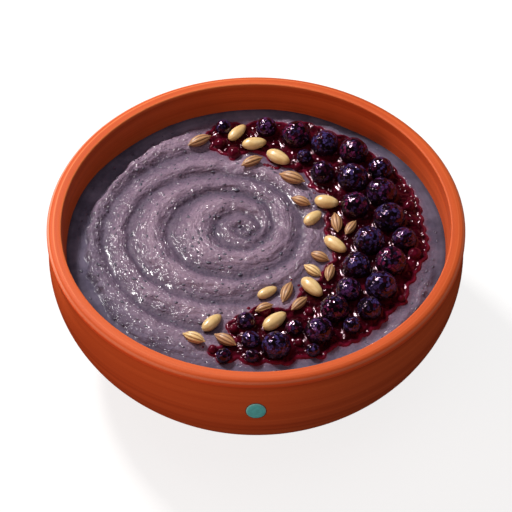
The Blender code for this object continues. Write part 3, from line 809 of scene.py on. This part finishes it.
def turned(profile, radius):
    """Points and faces of a profile's heights turned at a radius that may vary round the axis."""
    heights = np.array(profile)[:, 1]
    angles = np.arange(BOWL_SIDES)[:, None] * tau / BOWL_SIDES
    rows = [radius * np.cos(angles), radius * np.sin(angles), radius * 0 + heights]
    points = list(np.stack(rows, axis=2).reshape(-1, 3))
    count = len(profile)
    faces = []
    for side in range(BOWL_SIDES):
        here = side * count
        after = (side + 1) % BOWL_SIDES * count
        for step in range(count - 1):
            faces.append((here + step + 1, after + step + 1, after + step, here + step))
    for end in (0, count - 1):
        points.append((0, 0, heights[end]))
        for side in range(BOWL_SIDES):
            pair = [side * count + end, (side + 1) % BOWL_SIDES * count + end]
            faces.append((*(reversed(pair) if end else pair), len(points) - 1))
    return points, faces


def make_bowl(material):
    """The turned bowl, with shallow throwing rings on its walls."""
    floor = [(FLOOR_RADIUS * share, FLOOR_THICKNESS) for share in FLOOR_RINGS]
    profile = floor + inner_wall(INNER_WALL_STEPS) + rim() + outer_wall(OUTER_WALL_STEPS) + foot()
    radii, heights = np.array(profile).T
    along = np.concatenate(([0], np.cumsum(np.hypot(np.diff(radii), np.diff(heights)))))
    standing = (heights > THROWN_ABOVE) & (radii > THROWN_OUTSIDE)
    rings = sum(wander(along / size, along * 0, seed) for size, seed in THROWING_RINGS)
    angles = np.arange(BOWL_SIDES)[:, None] * tau / BOWL_SIDES
    swing = wander(np.cos(angles) * 2 + 7, np.sin(angles) * 2 + along / THROWING_SWING, 4)
    relief = THROWING_RELIEF * standing * rings * (0.6 + 0.4 * swing)
    mesh = mesh_of("bowl", *turned(profile, radii + relief))
    add_piece("earthenware_bowl", mesh, material, "earthenware", "bowl")


def make_dot(ring_material, edge_material, paint_material):
    """A dab of slip on the wall: a thin dark outline, a paler edge and a flat middle."""
    points = []
    for share, rise in DOT_SECTION:
        for side in range(DOT_SIDES if share else 1):
            angle = tau * side / DOT_SIDES
            across = share * DOT_WIDTH / 2 * cos(angle)
            z = DOT_CENTRE_HEIGHT + share * DOT_HEIGHT / 2 * sin(angle)
            radius = belly(z) + rise * DOT_RELIEF
            turn = across / belly(DOT_CENTRE_HEIGHT)
            points.append((radius * sin(turn), -radius * cos(turn), z))
    faces = [(0, 1 + side, 1 + (side + 1) % DOT_SIDES) for side in range(DOT_SIDES)]
    for ring in range(len(DOT_SECTION) - 2):
        start = 1 + ring * DOT_SIDES
        for side in range(DOT_SIDES):
            after = (side + 1) % DOT_SIDES
            faces.append((start + side, start + DOT_SIDES + side, start + DOT_SIDES + after, start + after))
    last = len(points) - DOT_SIDES
    faces.append(tuple(range(len(points) - 1, last - 1, -1)))
    mesh = mesh_of("dot", points, faces)
    add_piece("painted_dot", mesh, paint_material, "earthenware", "bowl")
    mesh.materials.append(edge_material)
    mesh.materials.append(ring_material)
    for face in mesh.polygons[DOT_SIDES:]:
        ring = (face.index - DOT_SIDES) // DOT_SIDES
        face.material_index = 2 if ring >= DOT_OUTLINE_RING else int(ring >= DOT_EDGE_RING)


# Compote's edge and the mush's form


def smooth_outline(steps):
    """The compote's edge as a closed, smooth line through the named points."""
    knots = np.array(OUTLINE) * MM
    padded = np.concatenate([knots[-1:], knots, knots[:3]])
    position = 1 + np.arange(len(knots) * steps) / steps
    line = np.stack([spline(padded[:, axis], position) for axis in (0, 1)], axis=1)
    along = np.roll(line, -1, axis=0) - np.roll(line, 1, axis=0)
    lengths = np.hypot(*along.T)
    outward = np.stack([-along[:, 1], along[:, 0]], axis=1) / lengths[:, None]
    travel = tau * np.cumsum(lengths) / lengths.sum()
    lobes = np.abs(np.sin(OUTLINE_LOBES * travel + 0.8 * np.sin(7 * travel)))
    lobes = OUTLINE_LOBE_DEPTH * lobes - OUTLINE_LOBE_MEAN
    return line + outward * lobes[:, None] * MM


def distance_outside(x, y, outline):
    """Distance of points from the outline, negative inside it."""
    points = np.stack([x, y], axis=1)
    nearest = np.full(len(points), 1.0)
    inside = np.zeros(len(points), bool)
    for start, end in zip(outline, np.roll(outline, -1, axis=0)):
        along = end - start
        t = np.clip((points - start) @ along / (along @ along), 0, 1)
        offset = points - start - t[:, None] * along
        nearest = np.minimum(nearest, np.hypot(offset[:, 0], offset[:, 1]))
        if start[1] != end[1]:
            crosses = (start[1] > y) != (end[1] > y)
            inside ^= crosses & (x < start[0] + along[0] * (y - start[1]) / along[1])
    return np.where(inside, -nearest, nearest)


def groove_distance(turns):
    """Distance of the spoon's groove from the eye after so many turns from the +X direction."""
    return spline(GROOVE_DISTANCES, 4 * turns - FIRST_QUARTER) * MM


def swirl_place(x, y):
    """Where points lie on the swirl: turns along it, share of the way between its two grooves, and
    the distance between those."""
    from_x = x - EYE[0]
    from_y = y - EYE[1]
    direction = (np.arctan2(from_y, from_x) % tau) / tau
    distance = np.hypot(from_x, from_y)
    grooves = np.stack([groove_distance(direction + turn - 2) for turn in range(TURNS)])
    index = np.clip((grooves <= distance).sum(axis=0), 1, TURNS - 1)
    rows = np.arange(len(x))
    low = np.where(distance < grooves[0], 0, grooves[index - 1, rows])
    high = np.where(distance < grooves[0], grooves[0], grooves[index, rows])
    pitch = high - low
    return direction + index, (distance - low) / pitch, pitch


def swirl_length(turns):
    """Distance along the middle of the swirl's ridge after so many turns."""
    steps = np.linspace(0, TURNS, 64 * TURNS)
    middle = (groove_distance(steps - 3) + groove_distance(steps - 2)) / 2
    return np.interp(turns, steps, np.cumsum(middle) * tau * (steps[1] - steps[0]))


def stirred_edge(angle):
    """How far out the swirl reaches in each direction: a lobed, slightly frayed circle."""
    x, y = np.cos(angle), np.sin(angle)
    edge = STIRRED_RADIUS - EDGE_LOBES_MEAN + EDGE_SWELL * np.sin(EDGE_SWELLS * angle)
    edge = edge + STIRRED_REACH * smooth_step(*STIRRED_REACH_SPAN, x)
    for reach, count, seed in EDGE_LOBES:
        edge = edge + reach * np.abs(wander(count * x, count * y, seed))
    reach, count, seed = EDGE_FRAY
    return edge + reach * wander(count * x, count * y, seed)


def fine_relief(x, y, radius, edge, outside, front):
    """Lumps and curds of the stirred mush, and the low lip that the spoon left along its edge."""
    lumps = sum(height * wander(x / size, y / size, seed) for height, size, seed in LUMPS)
    lip = np.exp(-(((edge - radius - EDGE_LIP_INSET) / EDGE_LIP_WIDTH) ** 2))
    height, size, seed = CURDS
    curds = height * np.abs(wander(x / size, y / size, seed))
    curds = curds * smooth_step(edge - CURDS_WIDTH, edge - CURDS_EASE, radius)
    curds = curds * smooth_step(CURDS_GAP, CALM_REACH, outside) * (1 - (1 - FRONT_CURDS) * front)
    return lumps + EDGE_LIP * lip * smooth_step(0, CALM_REACH, outside) + curds


def smoothness_and_shade(radius, stirred, front):
    """1 where the mush is quite smooth: at the wall, and partly over the unstirred ring and the front-left.
    It also sets painted shade, darker along the wall and over the front-left.
    """
    ring = RING_SMOOTHNESS + (1 - RING_SMOOTHNESS) * smooth_step(*RING_SPAN, radius)
    smooth = np.maximum((1 - stirred) * ring, WALL_SMOOTHNESS_AND_SHADE * smooth_step(*WALL_SPAN, radius))
    soft = sum(share * smooth_step(start, stop, radius) for share, start, stop in FRONT_SMOOTHNESS_AND_SHADE)
    return np.maximum(smooth, soft * front)


def mush_surface(x, y, outline):
    """Heights of the mush's top, distances from the jam's edge, and five marks: crest, stain near
    the jam, how smooth it is and where shade is painted, and the place along and across the swirl's ridge."""
    radius = np.hypot(x, y)
    angle = np.arctan2(y, x)
    waver = [WAVER * wander(x / WAVER_SIZE, y / WAVER_SIZE, seed) for seed in (81, 82)]
    turns, between, pitch = swirl_place(x + waver[0], y + waver[1])
    outside = distance_outside(x, y, outline)
    edge = stirred_edge(angle)
    forward = FRONT_DIRECTION[0] * np.cos(angle) + FRONT_DIRECTION[1] * np.sin(angle)
    front = smooth_step(*FRONT_SPAN, forward)
    stirred = 1 - smooth_step(edge - STIRRED_SLOPE / 2, edge + STIRRED_SLOPE / 2, radius)
    calm = CALM_FACTOR + (1 - CALM_FACTOR) * smooth_step(0, CALM_WIDTH, outside)
    bank = np.sin(pi * between**RIDGE_LEAN) ** RIDGE_SHARPNESS
    bank = np.minimum(RIDGE_STEEPNESS * pitch, RIDGE_MOST) * bank
    fade = np.sqrt(np.maximum(np.sin(pi * np.clip(between, 0, 1)), 0))
    travel = swirl_length(turns)
    across = between * pitch
    streaks = sum(rise * wander(travel / long, across / wide, seed) for rise, long, wide, seed in STREAKS)
    fine = fine_relief(x, y, radius, edge, outside, front)
    wave = EDGE_WAVE * (np.sin(5 * angle) + 0.5 * np.sin(9 * angle + 2))
    wall = WALL_RISE * smooth_step(*WALL_RISE_SPAN, radius) + wave * smooth_step(*EDGE_WAVE_SPAN, radius)
    rise, count, size, seed = RIPPLE
    ripple = rise * wander(angle * count, radius / size, seed)
    height = MUSH_LEVEL + stirred * (STIRRED_RISE + (bank + streaks * fade) * calm + fine)
    height = height + wall + ripple * (1 - stirred)
    crest = stirred * np.clip(bank / RIDGE_MOST, 0, 1)
    stain = 0.4 + 0.4 * wander(x / STAIN_SIZE, y / STAIN_SIZE, 61)
    stain = np.clip(stain * np.exp(-np.maximum(outside, 0) / STAIN_WIDTH), 0, 1)
    return height, outside, crest, stain, smoothness_and_shade(radius, stirred, front), travel, across


# Mush


def disc_grid(cells):
    """Points of a square grid drawn into a disc of radius 1, and its border in order."""
    line = np.linspace(-1, 1, cells + 1)
    a, b = (axis.ravel() for axis in np.meshgrid(line, line))
    wide = np.abs(a) > np.abs(b)
    radius = np.where(wide, a, b)
    ratio = np.where(wide, b, a) / np.where(radius == 0, 1, radius)
    turn = np.where(wide, pi / 4 * ratio, pi / 2 - pi / 4 * ratio)
    side = np.arange(cells)
    row = cells + 1
    border = np.concatenate([side, side * row + cells, cells * row + cells - side, (cells - side) * row])
    return radius * np.cos(turn), radius * np.sin(turn), border


def make_mush(material, outline):
    """The mush, filled in to the bowl's wall, with a pit for the compote."""
    wall = inner_wall(MUSH_WALL_STEPS)
    radii, levels = np.array(wall).T
    x, y, border = disc_grid(MUSH_CELLS)
    full = np.interp(MUSH_LEVEL, levels, radii) + MUSH_WALL_REACH
    x, y = x * full, y * full
    height, outside, *marks = mush_surface(x, y, outline)
    pit_floor = JAM_LEVEL - JAM_DEPTH - PIT_GAP
    height = height + (pit_floor - height) * smooth_step(*PIT_EDGE, -outside)
    at_wall = np.interp(height[border], levels, radii) + MUSH_WALL_REACH
    grown = at_wall / np.hypot(x[border], y[border])
    x[border] *= grown
    y[border] *= grown
    points = list(np.stack([x, y, height], axis=1))
    row = MUSH_CELLS + 1
    corner = (np.arange(MUSH_CELLS)[:, None] * row + np.arange(MUSH_CELLS)).ravel()
    faces = np.stack([corner, corner + 1, corner + row + 1, corner + row], axis=1).tolist()
    top_count = len(points)
    turn = np.arctan2(y[border], x[border])
    above = border
    for radius, level in [step for step in reversed(wall) if step[1] < MUSH_LEVEL - MUSH_WALL_DROP][::2]:
        inset = radius - MUSH_WALL_REACH
        levels = np.full(len(turn), level + MUSH_WALL_REACH)
        ring = np.arange(len(points), len(points) + len(turn))
        points.extend(np.stack([inset * np.cos(turn), inset * np.sin(turn), levels], axis=1))
        faces.extend(np.stack([above, ring, np.roll(ring, -1), np.roll(above, -1)], axis=1).tolist())
        above = ring
    faces.append(above[::-1].tolist())
    mesh = mesh_of("mush", points, faces)
    below = len(points) - top_count
    for name, values in zip(("crest", "stain", "smooth", "travel", "across"), marks):
        add_attribute(mesh, name, np.concatenate([values, np.zeros(below)]))
    add_piece("stirred_mush", mesh, material, "corn_mush", "mush")


def make_specks(material, outline):
    """Flakes of dark corn skin lying in the top of the mush, drawn out along the swirl."""
    draw = random.Random(SPECK_SEED)
    angle = np.array([draw.uniform(0, tau) for _ in range(SPECKS)])
    radius = np.array([SPECK_SPREAD * sqrt(draw.random()) for _ in range(SPECKS)])
    x, y = radius * np.cos(angle), radius * np.sin(angle)
    height, outside, *_ = mush_surface(x, y, outline)
    unit, faces = sphere(6, 4)
    parts = []
    for index in range(SPECKS):
        if outside[index] < SPECK_GAP:
            continue
        length = draw.uniform(*SPECK_LENGTHS) * MM
        if draw.random() < LONG_SPECKS:
            length *= LONG_SPECK_STRETCH
        width = length * draw.uniform(*SPECK_WIDTHS)
        skew = draw.uniform(-SPECK_SKEW, SPECK_SKEW)
        around = atan2(y[index] - EYE[1], x[index] - EYE[0]) + pi / 2 + skew
        centre = Vector((x[index], y[index], height[index] + SPECK_LIFT))
        flake = [(along * length, across * width, up * SPECK_THICKNESS) for along, across, up in unit]
        parts.append((laid(centre, around, flake), faces))
    add_piece("corn_specks", joined("specks", parts), material, "corn_mush", "mush")


# Compote


def berry_round(node):
    """Centre and radius of a berry's solid."""
    low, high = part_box(node)
    return (low + high) / 2, (high.x - low.x + high.y - low.y) / 4


def jam_surface(x, y, outline, berries):
    """Heights of the compote's top, how thick it looks, and where its skin is rippled."""
    mush, outside, *_ = mush_surface(x, y, outline)
    inside = np.maximum(-outside, 0)
    bead = np.sqrt(1 - (1 - np.clip(inside / JAM_BEAD, 0, 1)) ** 2)
    share = smooth_step(*JAM_RISE, inside)
    low = mush - JAM_BEAD_FOOT
    top = mush + JAM_BEAD_TOP
    height = low + (top - low) * bead + (JAM_LEVEL - JAM_SINK - top) * share
    height = height - JAM_FURROW * np.exp(-(((inside - JAM_FURROW_INSET) / JAM_FURROW_WIDTH) ** 2))
    nearest = np.full(len(x), 1.0)
    for centre, radius in berries:
        away = np.maximum(np.hypot(x - centre.x, y - centre.y) - radius, 0)
        height = height + JAM_CLIMB * np.exp(-away / JAM_CLIMB_WIDTH) * share
        nearest = np.minimum(nearest, away)
    rippled = smooth_step(*JAM_STILL, nearest)
    pulp = np.abs(wander(x / PULP_SIZE, y / PULP_SIZE, 71)) + 0.3 * np.abs(wander(x / MM, y / MM, 72))
    height = height + (pulp - 0.5) * PULP_HEIGHT * smooth_step(*PULP_EASE, inside) * rippled
    return height, smooth_step(*JAM_THICK, inside), rippled


def jam_points(outline, berries):
    """Places for the compote's mesh: its edge, an even grid, and rings round each berry."""
    low = outline.min(axis=0)
    high = outline.max(axis=0)
    columns = np.arange(low[0], high[0], JAM_GRID)
    lines = np.arange(low[1], high[1], JAM_GRID * sqrt(3) / 2)
    x, y = np.meshgrid(columns, lines)
    x = x + (np.arange(len(lines)) % 2 * JAM_GRID / 2)[:, None]
    x, y = x.ravel(), y.ravel()
    kept = distance_outside(x, y, outline) < -JAM_GRID / 2
    for centre, radius in berries:
        kept &= np.hypot(x - centre.x, y - centre.y) > radius + BERRY_RING_REACH
    points = [*outline, *np.stack([x[kept], y[kept]], axis=1)]
    rings = []
    for centre, radius in berries:
        for step, gap in enumerate(BERRY_RING_GAPS):
            reach = radius + gap * MM
            sides = int(tau * reach / JAM_GRID)
            turn = (np.arange(sides) + step / 2) * tau / sides
            rings.append(np.stack([centre.x + reach * np.cos(turn), centre.y + reach * np.sin(turn)], axis=1))
    x, y = np.concatenate(rings).T
    kept = distance_outside(x, y, outline) < -JAM_GRID / 3
    for centre, radius in berries:
        kept &= np.hypot(x - centre.x, y - centre.y) > radius - BERRY_RING_SUNK
    points.extend(np.stack([x[kept], y[kept]], axis=1))
    return points


def make_compote(material, outline):
    """The pool of jam: an uneven skin over a plain closed body, climbing a little at each berry."""
    berries = [berry_round(name) for name in BERRIES]
    count = len(outline)
    edge = [(index, (index + 1) % count) for index in range(count)]
    places = [Vector(point) for point in jam_points(outline, berries)]
    flat, _, triangles, *_ = delaunay_2d_cdt(places, edge, [], 1, 1e-7)
    x, y = np.array(flat).T
    height, thick, rippled = jam_surface(x, y, outline, berries)
    top = list(np.stack([x, y, height], axis=1))
    bottom = [(point[0], point[1], JAM_LEVEL - JAM_DEPTH) for point in outline]
    faces = [list(face) for face in triangles]
    for index, after in edge:
        faces.append([index, after, len(top) + after, len(top) + index])
    faces.append([len(top) + index for index in range(count)])
    mesh = mesh_of("compote", top + bottom, faces)
    shape = bmesh.new()
    shape.from_mesh(mesh)
    bmesh.ops.recalc_face_normals(shape, faces=shape.faces)
    shape.to_mesh(mesh)
    shape.free()
    add_attribute(mesh, "thick", np.concatenate([thick, np.ones(count)]))
    add_attribute(mesh, "rippled", np.concatenate([rippled, np.ones(count)]))
    add_piece("jam_pool", mesh, material, "berry_compote", "compote")


def dome(centre, radius, flatness, seed):
    """Points and faces of a slightly uneven drop."""
    unit, faces = sphere(20, 12)
    points = []
    for point in unit:
        way = Vector(point)
        bulge = 1 + DROP_BULGE * noise.noise(way * DROP_BULGES + Vector((seed * 3.1, 0, 0)))
        spot = way * radius * bulge
        points.append(centre + Vector((spot.y, spot.z, spot.x * flatness)))
    return points, faces


def make_drops(name, parts, material, *nodes, thick, rippled):
    """Drops of jam as one piece, with how thick and how rippled they look."""
    mesh = joined(name, parts)
    add_attribute(mesh, "thick", np.full(len(mesh.vertices), thick))
    add_attribute(mesh, "rippled", np.full(len(mesh.vertices), rippled))
    add_piece(name, mesh, material, "berry_compote", *nodes)


def make_beads(material):
    """Small berries under a skin of jam, along the pool's edge."""
    parts = []
    for seed, (x, y, radius) in enumerate(BEADS):
        centre = Vector((x, y, 0)) * MM + Vector((0, 0, JAM_LEVEL - BEAD_SUNK * radius * MM))
        parts.append(dome(centre, radius * MM, BEAD_FLATNESS, seed))
    make_drops("jam_beads", parts, material, "compote", thick=0.55, rippled=0.7)


def make_drips(material, outline):
    """Loose drips of jam on the mush."""
    x, y, radius = np.array(DRIPS).T * MM
    height, *_ = mush_surface(x, y, outline)
    parts = []
    for seed in range(len(DRIPS)):
        centre = Vector((x[seed], y[seed], height[seed]))
        parts.append(dome(centre, radius[seed], DRIP_FLATNESS, seed + 50))
    make_drops("jam_drips", parts, material, thick=0.15, rippled=0.3)


# Berries, nuts and seeds


def make_berry(node, index, material):
    """A cooked berry: round, with shallow dimples and creases in its skin."""
    centre, radius = berry_round(node)
    low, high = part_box(node)
    flattening = (high.z - low.z) / 2 / radius
    shift = Vector((index * 7.3, index * 1.7, 3.1))
    shape = bmesh.new()
    bmesh.ops.create_icosphere(shape, subdivisions=BERRY_SUBDIVISIONS, radius=1)
    rise = [vert.co.z for vert in shape.verts]
    for vert in shape.verts:
        way = vert.co.copy()
        dent = noise.noise(way * BERRY_DENTS + shift) * BERRY_DENT
        fold = abs(noise.noise(way * BERRY_FOLDS + shift * 2)) * BERRY_FOLD
        crinkle = noise.noise(way * radius / BERRY_CRINKLE_SIZE + shift) * BERRY_CRINKLE / radius
        vert.co = way * radius * (1 + dent + fold - crinkle)
        vert.co.z *= flattening
        vert.co += centre
    mesh = bpy.data.meshes.new(node)
    shape.to_mesh(mesh)
    shape.free()
    add_attribute(mesh, "rise", rise)
    add_piece(node.replace("berry", "dark_berry"), mesh, material, "berry_skin", node)


def lie_of(node):
    """A long solid's centre, heading, length, width and thickness, its blunt end first."""
    points = np.array([vert.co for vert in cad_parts[node].data.vertices])
    low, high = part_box(node)
    flat = points[:, :2] - points[:, :2].mean(axis=0)
    heading = np.linalg.eigh(flat.T @ flat)[1][:, -1]
    along = flat @ heading
    across = flat @ np.array((-heading[1], heading[0]))
    middle = (along.max() + along.min()) / 2
    front = np.ptp(across[along > middle])
    back = np.ptp(across[along < middle])
    if front > back:
        heading = -heading
    centre = points[:, :2].mean(axis=0)
    place = Vector((centre[0], centre[1], (low.z + high.z) / 2))
    return place, atan2(heading[1], heading[0]), np.ptp(along), np.ptp(across), high.z - low.z


def make_nut(node, material):
    """A pine nut: smooth, blunt at one end, with a small dark tip at the other."""
    place, heading, length, width, thickness = lie_of(node)
    unit, faces = sphere(32, 24)
    points = []
    for along, across, up in unit:
        full = (1 - NUT_TAPER * along) * (1 + NUT_FULLNESS * (1 - along * along)) / 2
        points.append((along * length / 2, across * full * width, up * full * thickness))
    mesh = mesh_of(node, laid(place, heading, points), faces)
    add_attribute(mesh, "along", [(point[0] + 1) / 2 for point in unit])
    sides = [atan2(point[2], point[1]) for point in unit]
    add_attribute(mesh, "lines", [abs(cos(NUT_LINES * side)) ** 12 for side in sides])
    add_piece(node.replace("pine_nut", "pine_kernel"), mesh, material, "pine_nut", node)


def seed_radius(along):
    """Share of a ribbed seed's full width at each point along it, with a stub at either end."""
    body = max(1 - abs(along / SEED_BODY_END) ** 2.1, 0) ** 0.72
    stub = SEED_STUB * max(1 - abs(along) ** 14, 0) ** 0.5
    return max(body, stub if along < 0 else SEED_FAR_STUB * stub)


def make_seeds(name, rows, materials, slot, node, outline):
    """Ribbed seeds lying on the mush or the jam, as one piece."""
    unit, faces = sphere(48, 26)
    x, y = np.array([row[:2] for row in rows]).T * MM
    height, *_ = mush_surface(x, y, outline)
    parts = []
    ribs = []
    for index, (_, _, heading, length, width) in enumerate(rows):
        length, width = length * MM, width * MM
        thickness = width * SEED_THICKNESS
        level = JAM_LEVEL if node == "compote" else height[index]
        place = Vector((x[index], y[index], level + thickness * (0.5 - SEED_SUNK)))
        points = []
        for along, across, up in unit:
            side = atan2(up, across)
            rib = sqrt(abs(sin(SEED_RIBS / 2 * (side - pi / 2))))
            full = seed_radius(along) * (1 - SEED_RIB_DEPTH + SEED_RIB_DEPTH * rib) / 2
            bend = SEED_BEND * width * (1 - along * along)
            points.append(
                (along * length / 2, cos(side) * full * width + bend, sin(side) * full * thickness)
            )
            ribs.append(rib)
        parts.append((laid(place, radians(heading), points), faces))
    mesh = joined(name, parts)
    add_piece(name, mesh, materials[0], slot, node)
    add_attribute(mesh, "rib", ribs)
    for material in materials[1:]:
        mesh.materials.append(material)
        for face in mesh.polygons:
            face.material_index = int(face.index // len(faces) in YELLOW_SEEDS)


# Stage


def aimed(name, data, towards, distance):
    """A lamp or camera that points at the bowl from a direction."""
    item = add_object(name, data)
    way = Vector(towards).normalized()
    item.location = VIEW_TARGET + way * distance
    item.rotation_euler = (-way).to_track_quat("-Z", "Y").to_euler()
    return item


def add_lamp(name, towards, distance, size, power, colour, lights, glints):
    """A soft square lamp, which may light matt surfaces, show as a glint, or both."""
    data = bpy.data.lights.new(name, "AREA")
    data.energy = power
    data.size = size
    data.color = colour
    lamp = aimed(name, data, towards, distance)
    lamp.visible_diffuse = lights
    lamp.visible_glossy = glints


def stage_piece(name, mesh, material):
    """Floor or surroundings, seen by the camera and left out of the light on the bowl."""
    piece = add_object(name, mesh)
    mesh.materials.append(material)
    piece.visible_diffuse = False
    piece.visible_glossy = False
    piece.visible_shadow = False


def glowing(name, base, glow):
    """A matt grey that shines a little itself."""
    return Finish(name).shade(
        Base_Color=(base, base, base, 1),
        Roughness=0.9,
        Emission_Color=(1, 1, 1, 1),
        Emission_Strength=glow,
    )


def make_stage():
    """Pale floor and surroundings, a dim even light from all round, and soft lamps."""
    scene = bpy.context.scene
    scene.view_settings.view_transform = "Standard"
    world = bpy.data.worlds.new("even_light")
    scene.world = world
    world.use_nodes = True
    background = world.node_tree.nodes["Background"]
    background.inputs["Color"].default_value = AMBIENT_COLOUR
    background.inputs["Strength"].default_value = AMBIENT
    world.cycles_visibility.glossy = False
    corners = [(STAGE_RADIUS * x, STAGE_RADIUS * y, 0) for x, y in ((-1, -1), (1, -1), (1, 1), (-1, 1))]
    floor = mesh_of("floor", corners, [(0, 1, 2, 3)])
    stage_piece("floor", floor, glowing("pale_floor", base=0.2, glow=0.82))
    points, faces = sphere(32, 16)
    round_about = mesh_of("surroundings", [Vector(point) * STAGE_RADIUS for point in points], faces)
    stage_piece("surroundings", round_about, glowing("pale_surroundings", base=0.0, glow=1.0))
    for lamp in LAMPS:
        add_lamp(*lamp)


def make_camera():
    data = bpy.data.cameras.new("camera")
    data.lens = LENS
    back = (0, -cos(VIEW_ELEVATION), sin(VIEW_ELEVATION))
    bpy.context.scene.camera = aimed("camera", data, back, VIEW_DISTANCE)


def main():
    outline = smooth_outline(OUTLINE_STEPS)
    make_bowl(clay_finish())
    make_dot(
        dot_finish("dot_outline", (0.16, 0.03, 0.016), 0.6),
        dot_finish("dot_edge", (0.26, 0.84, 0.92), 0.45),
        dot_finish("dot_paint", (0.14, 0.82, 0.95), 0.45),
    )
    make_mush(mush_finish(), outline)
    make_specks(speck_finish(), outline)
    jam = jam_finish()
    make_compote(jam, outline)
    make_beads(jam)
    make_drips(jam, outline)
    skins = [
        berry_finish("indigo_skin", (0.05, 0.034, 0.14)),
        berry_finish("wine_skin", (0.12, 0.012, 0.055)),
        berry_finish("plum_skin", (0.08, 0.025, 0.11)),
    ]
    for index, node in enumerate(BERRIES):
        make_berry(node, index, skins[(index * 5 + index // 4) % len(skins)])
    kernel = nut_finish()
    for node in NUTS:
        make_nut(node, kernel)
    tan = seed_finish("tan_seed", (0.2, 0.08, 0.032), (0.5, 0.27, 0.125))
    yellow = seed_finish("yellow_seed", (0.36, 0.18, 0.055), (0.84, 0.59, 0.27))
    make_seeds("ribbed_seeds_on_mush", MUSH_SEEDS, [tan, yellow], "corn_mush", "mush", outline)
    make_seeds("ribbed_seeds_in_jam", JAM_SEEDS, [tan], "berry_compote", "compote", outline)
    make_stage()
    make_camera()


main()
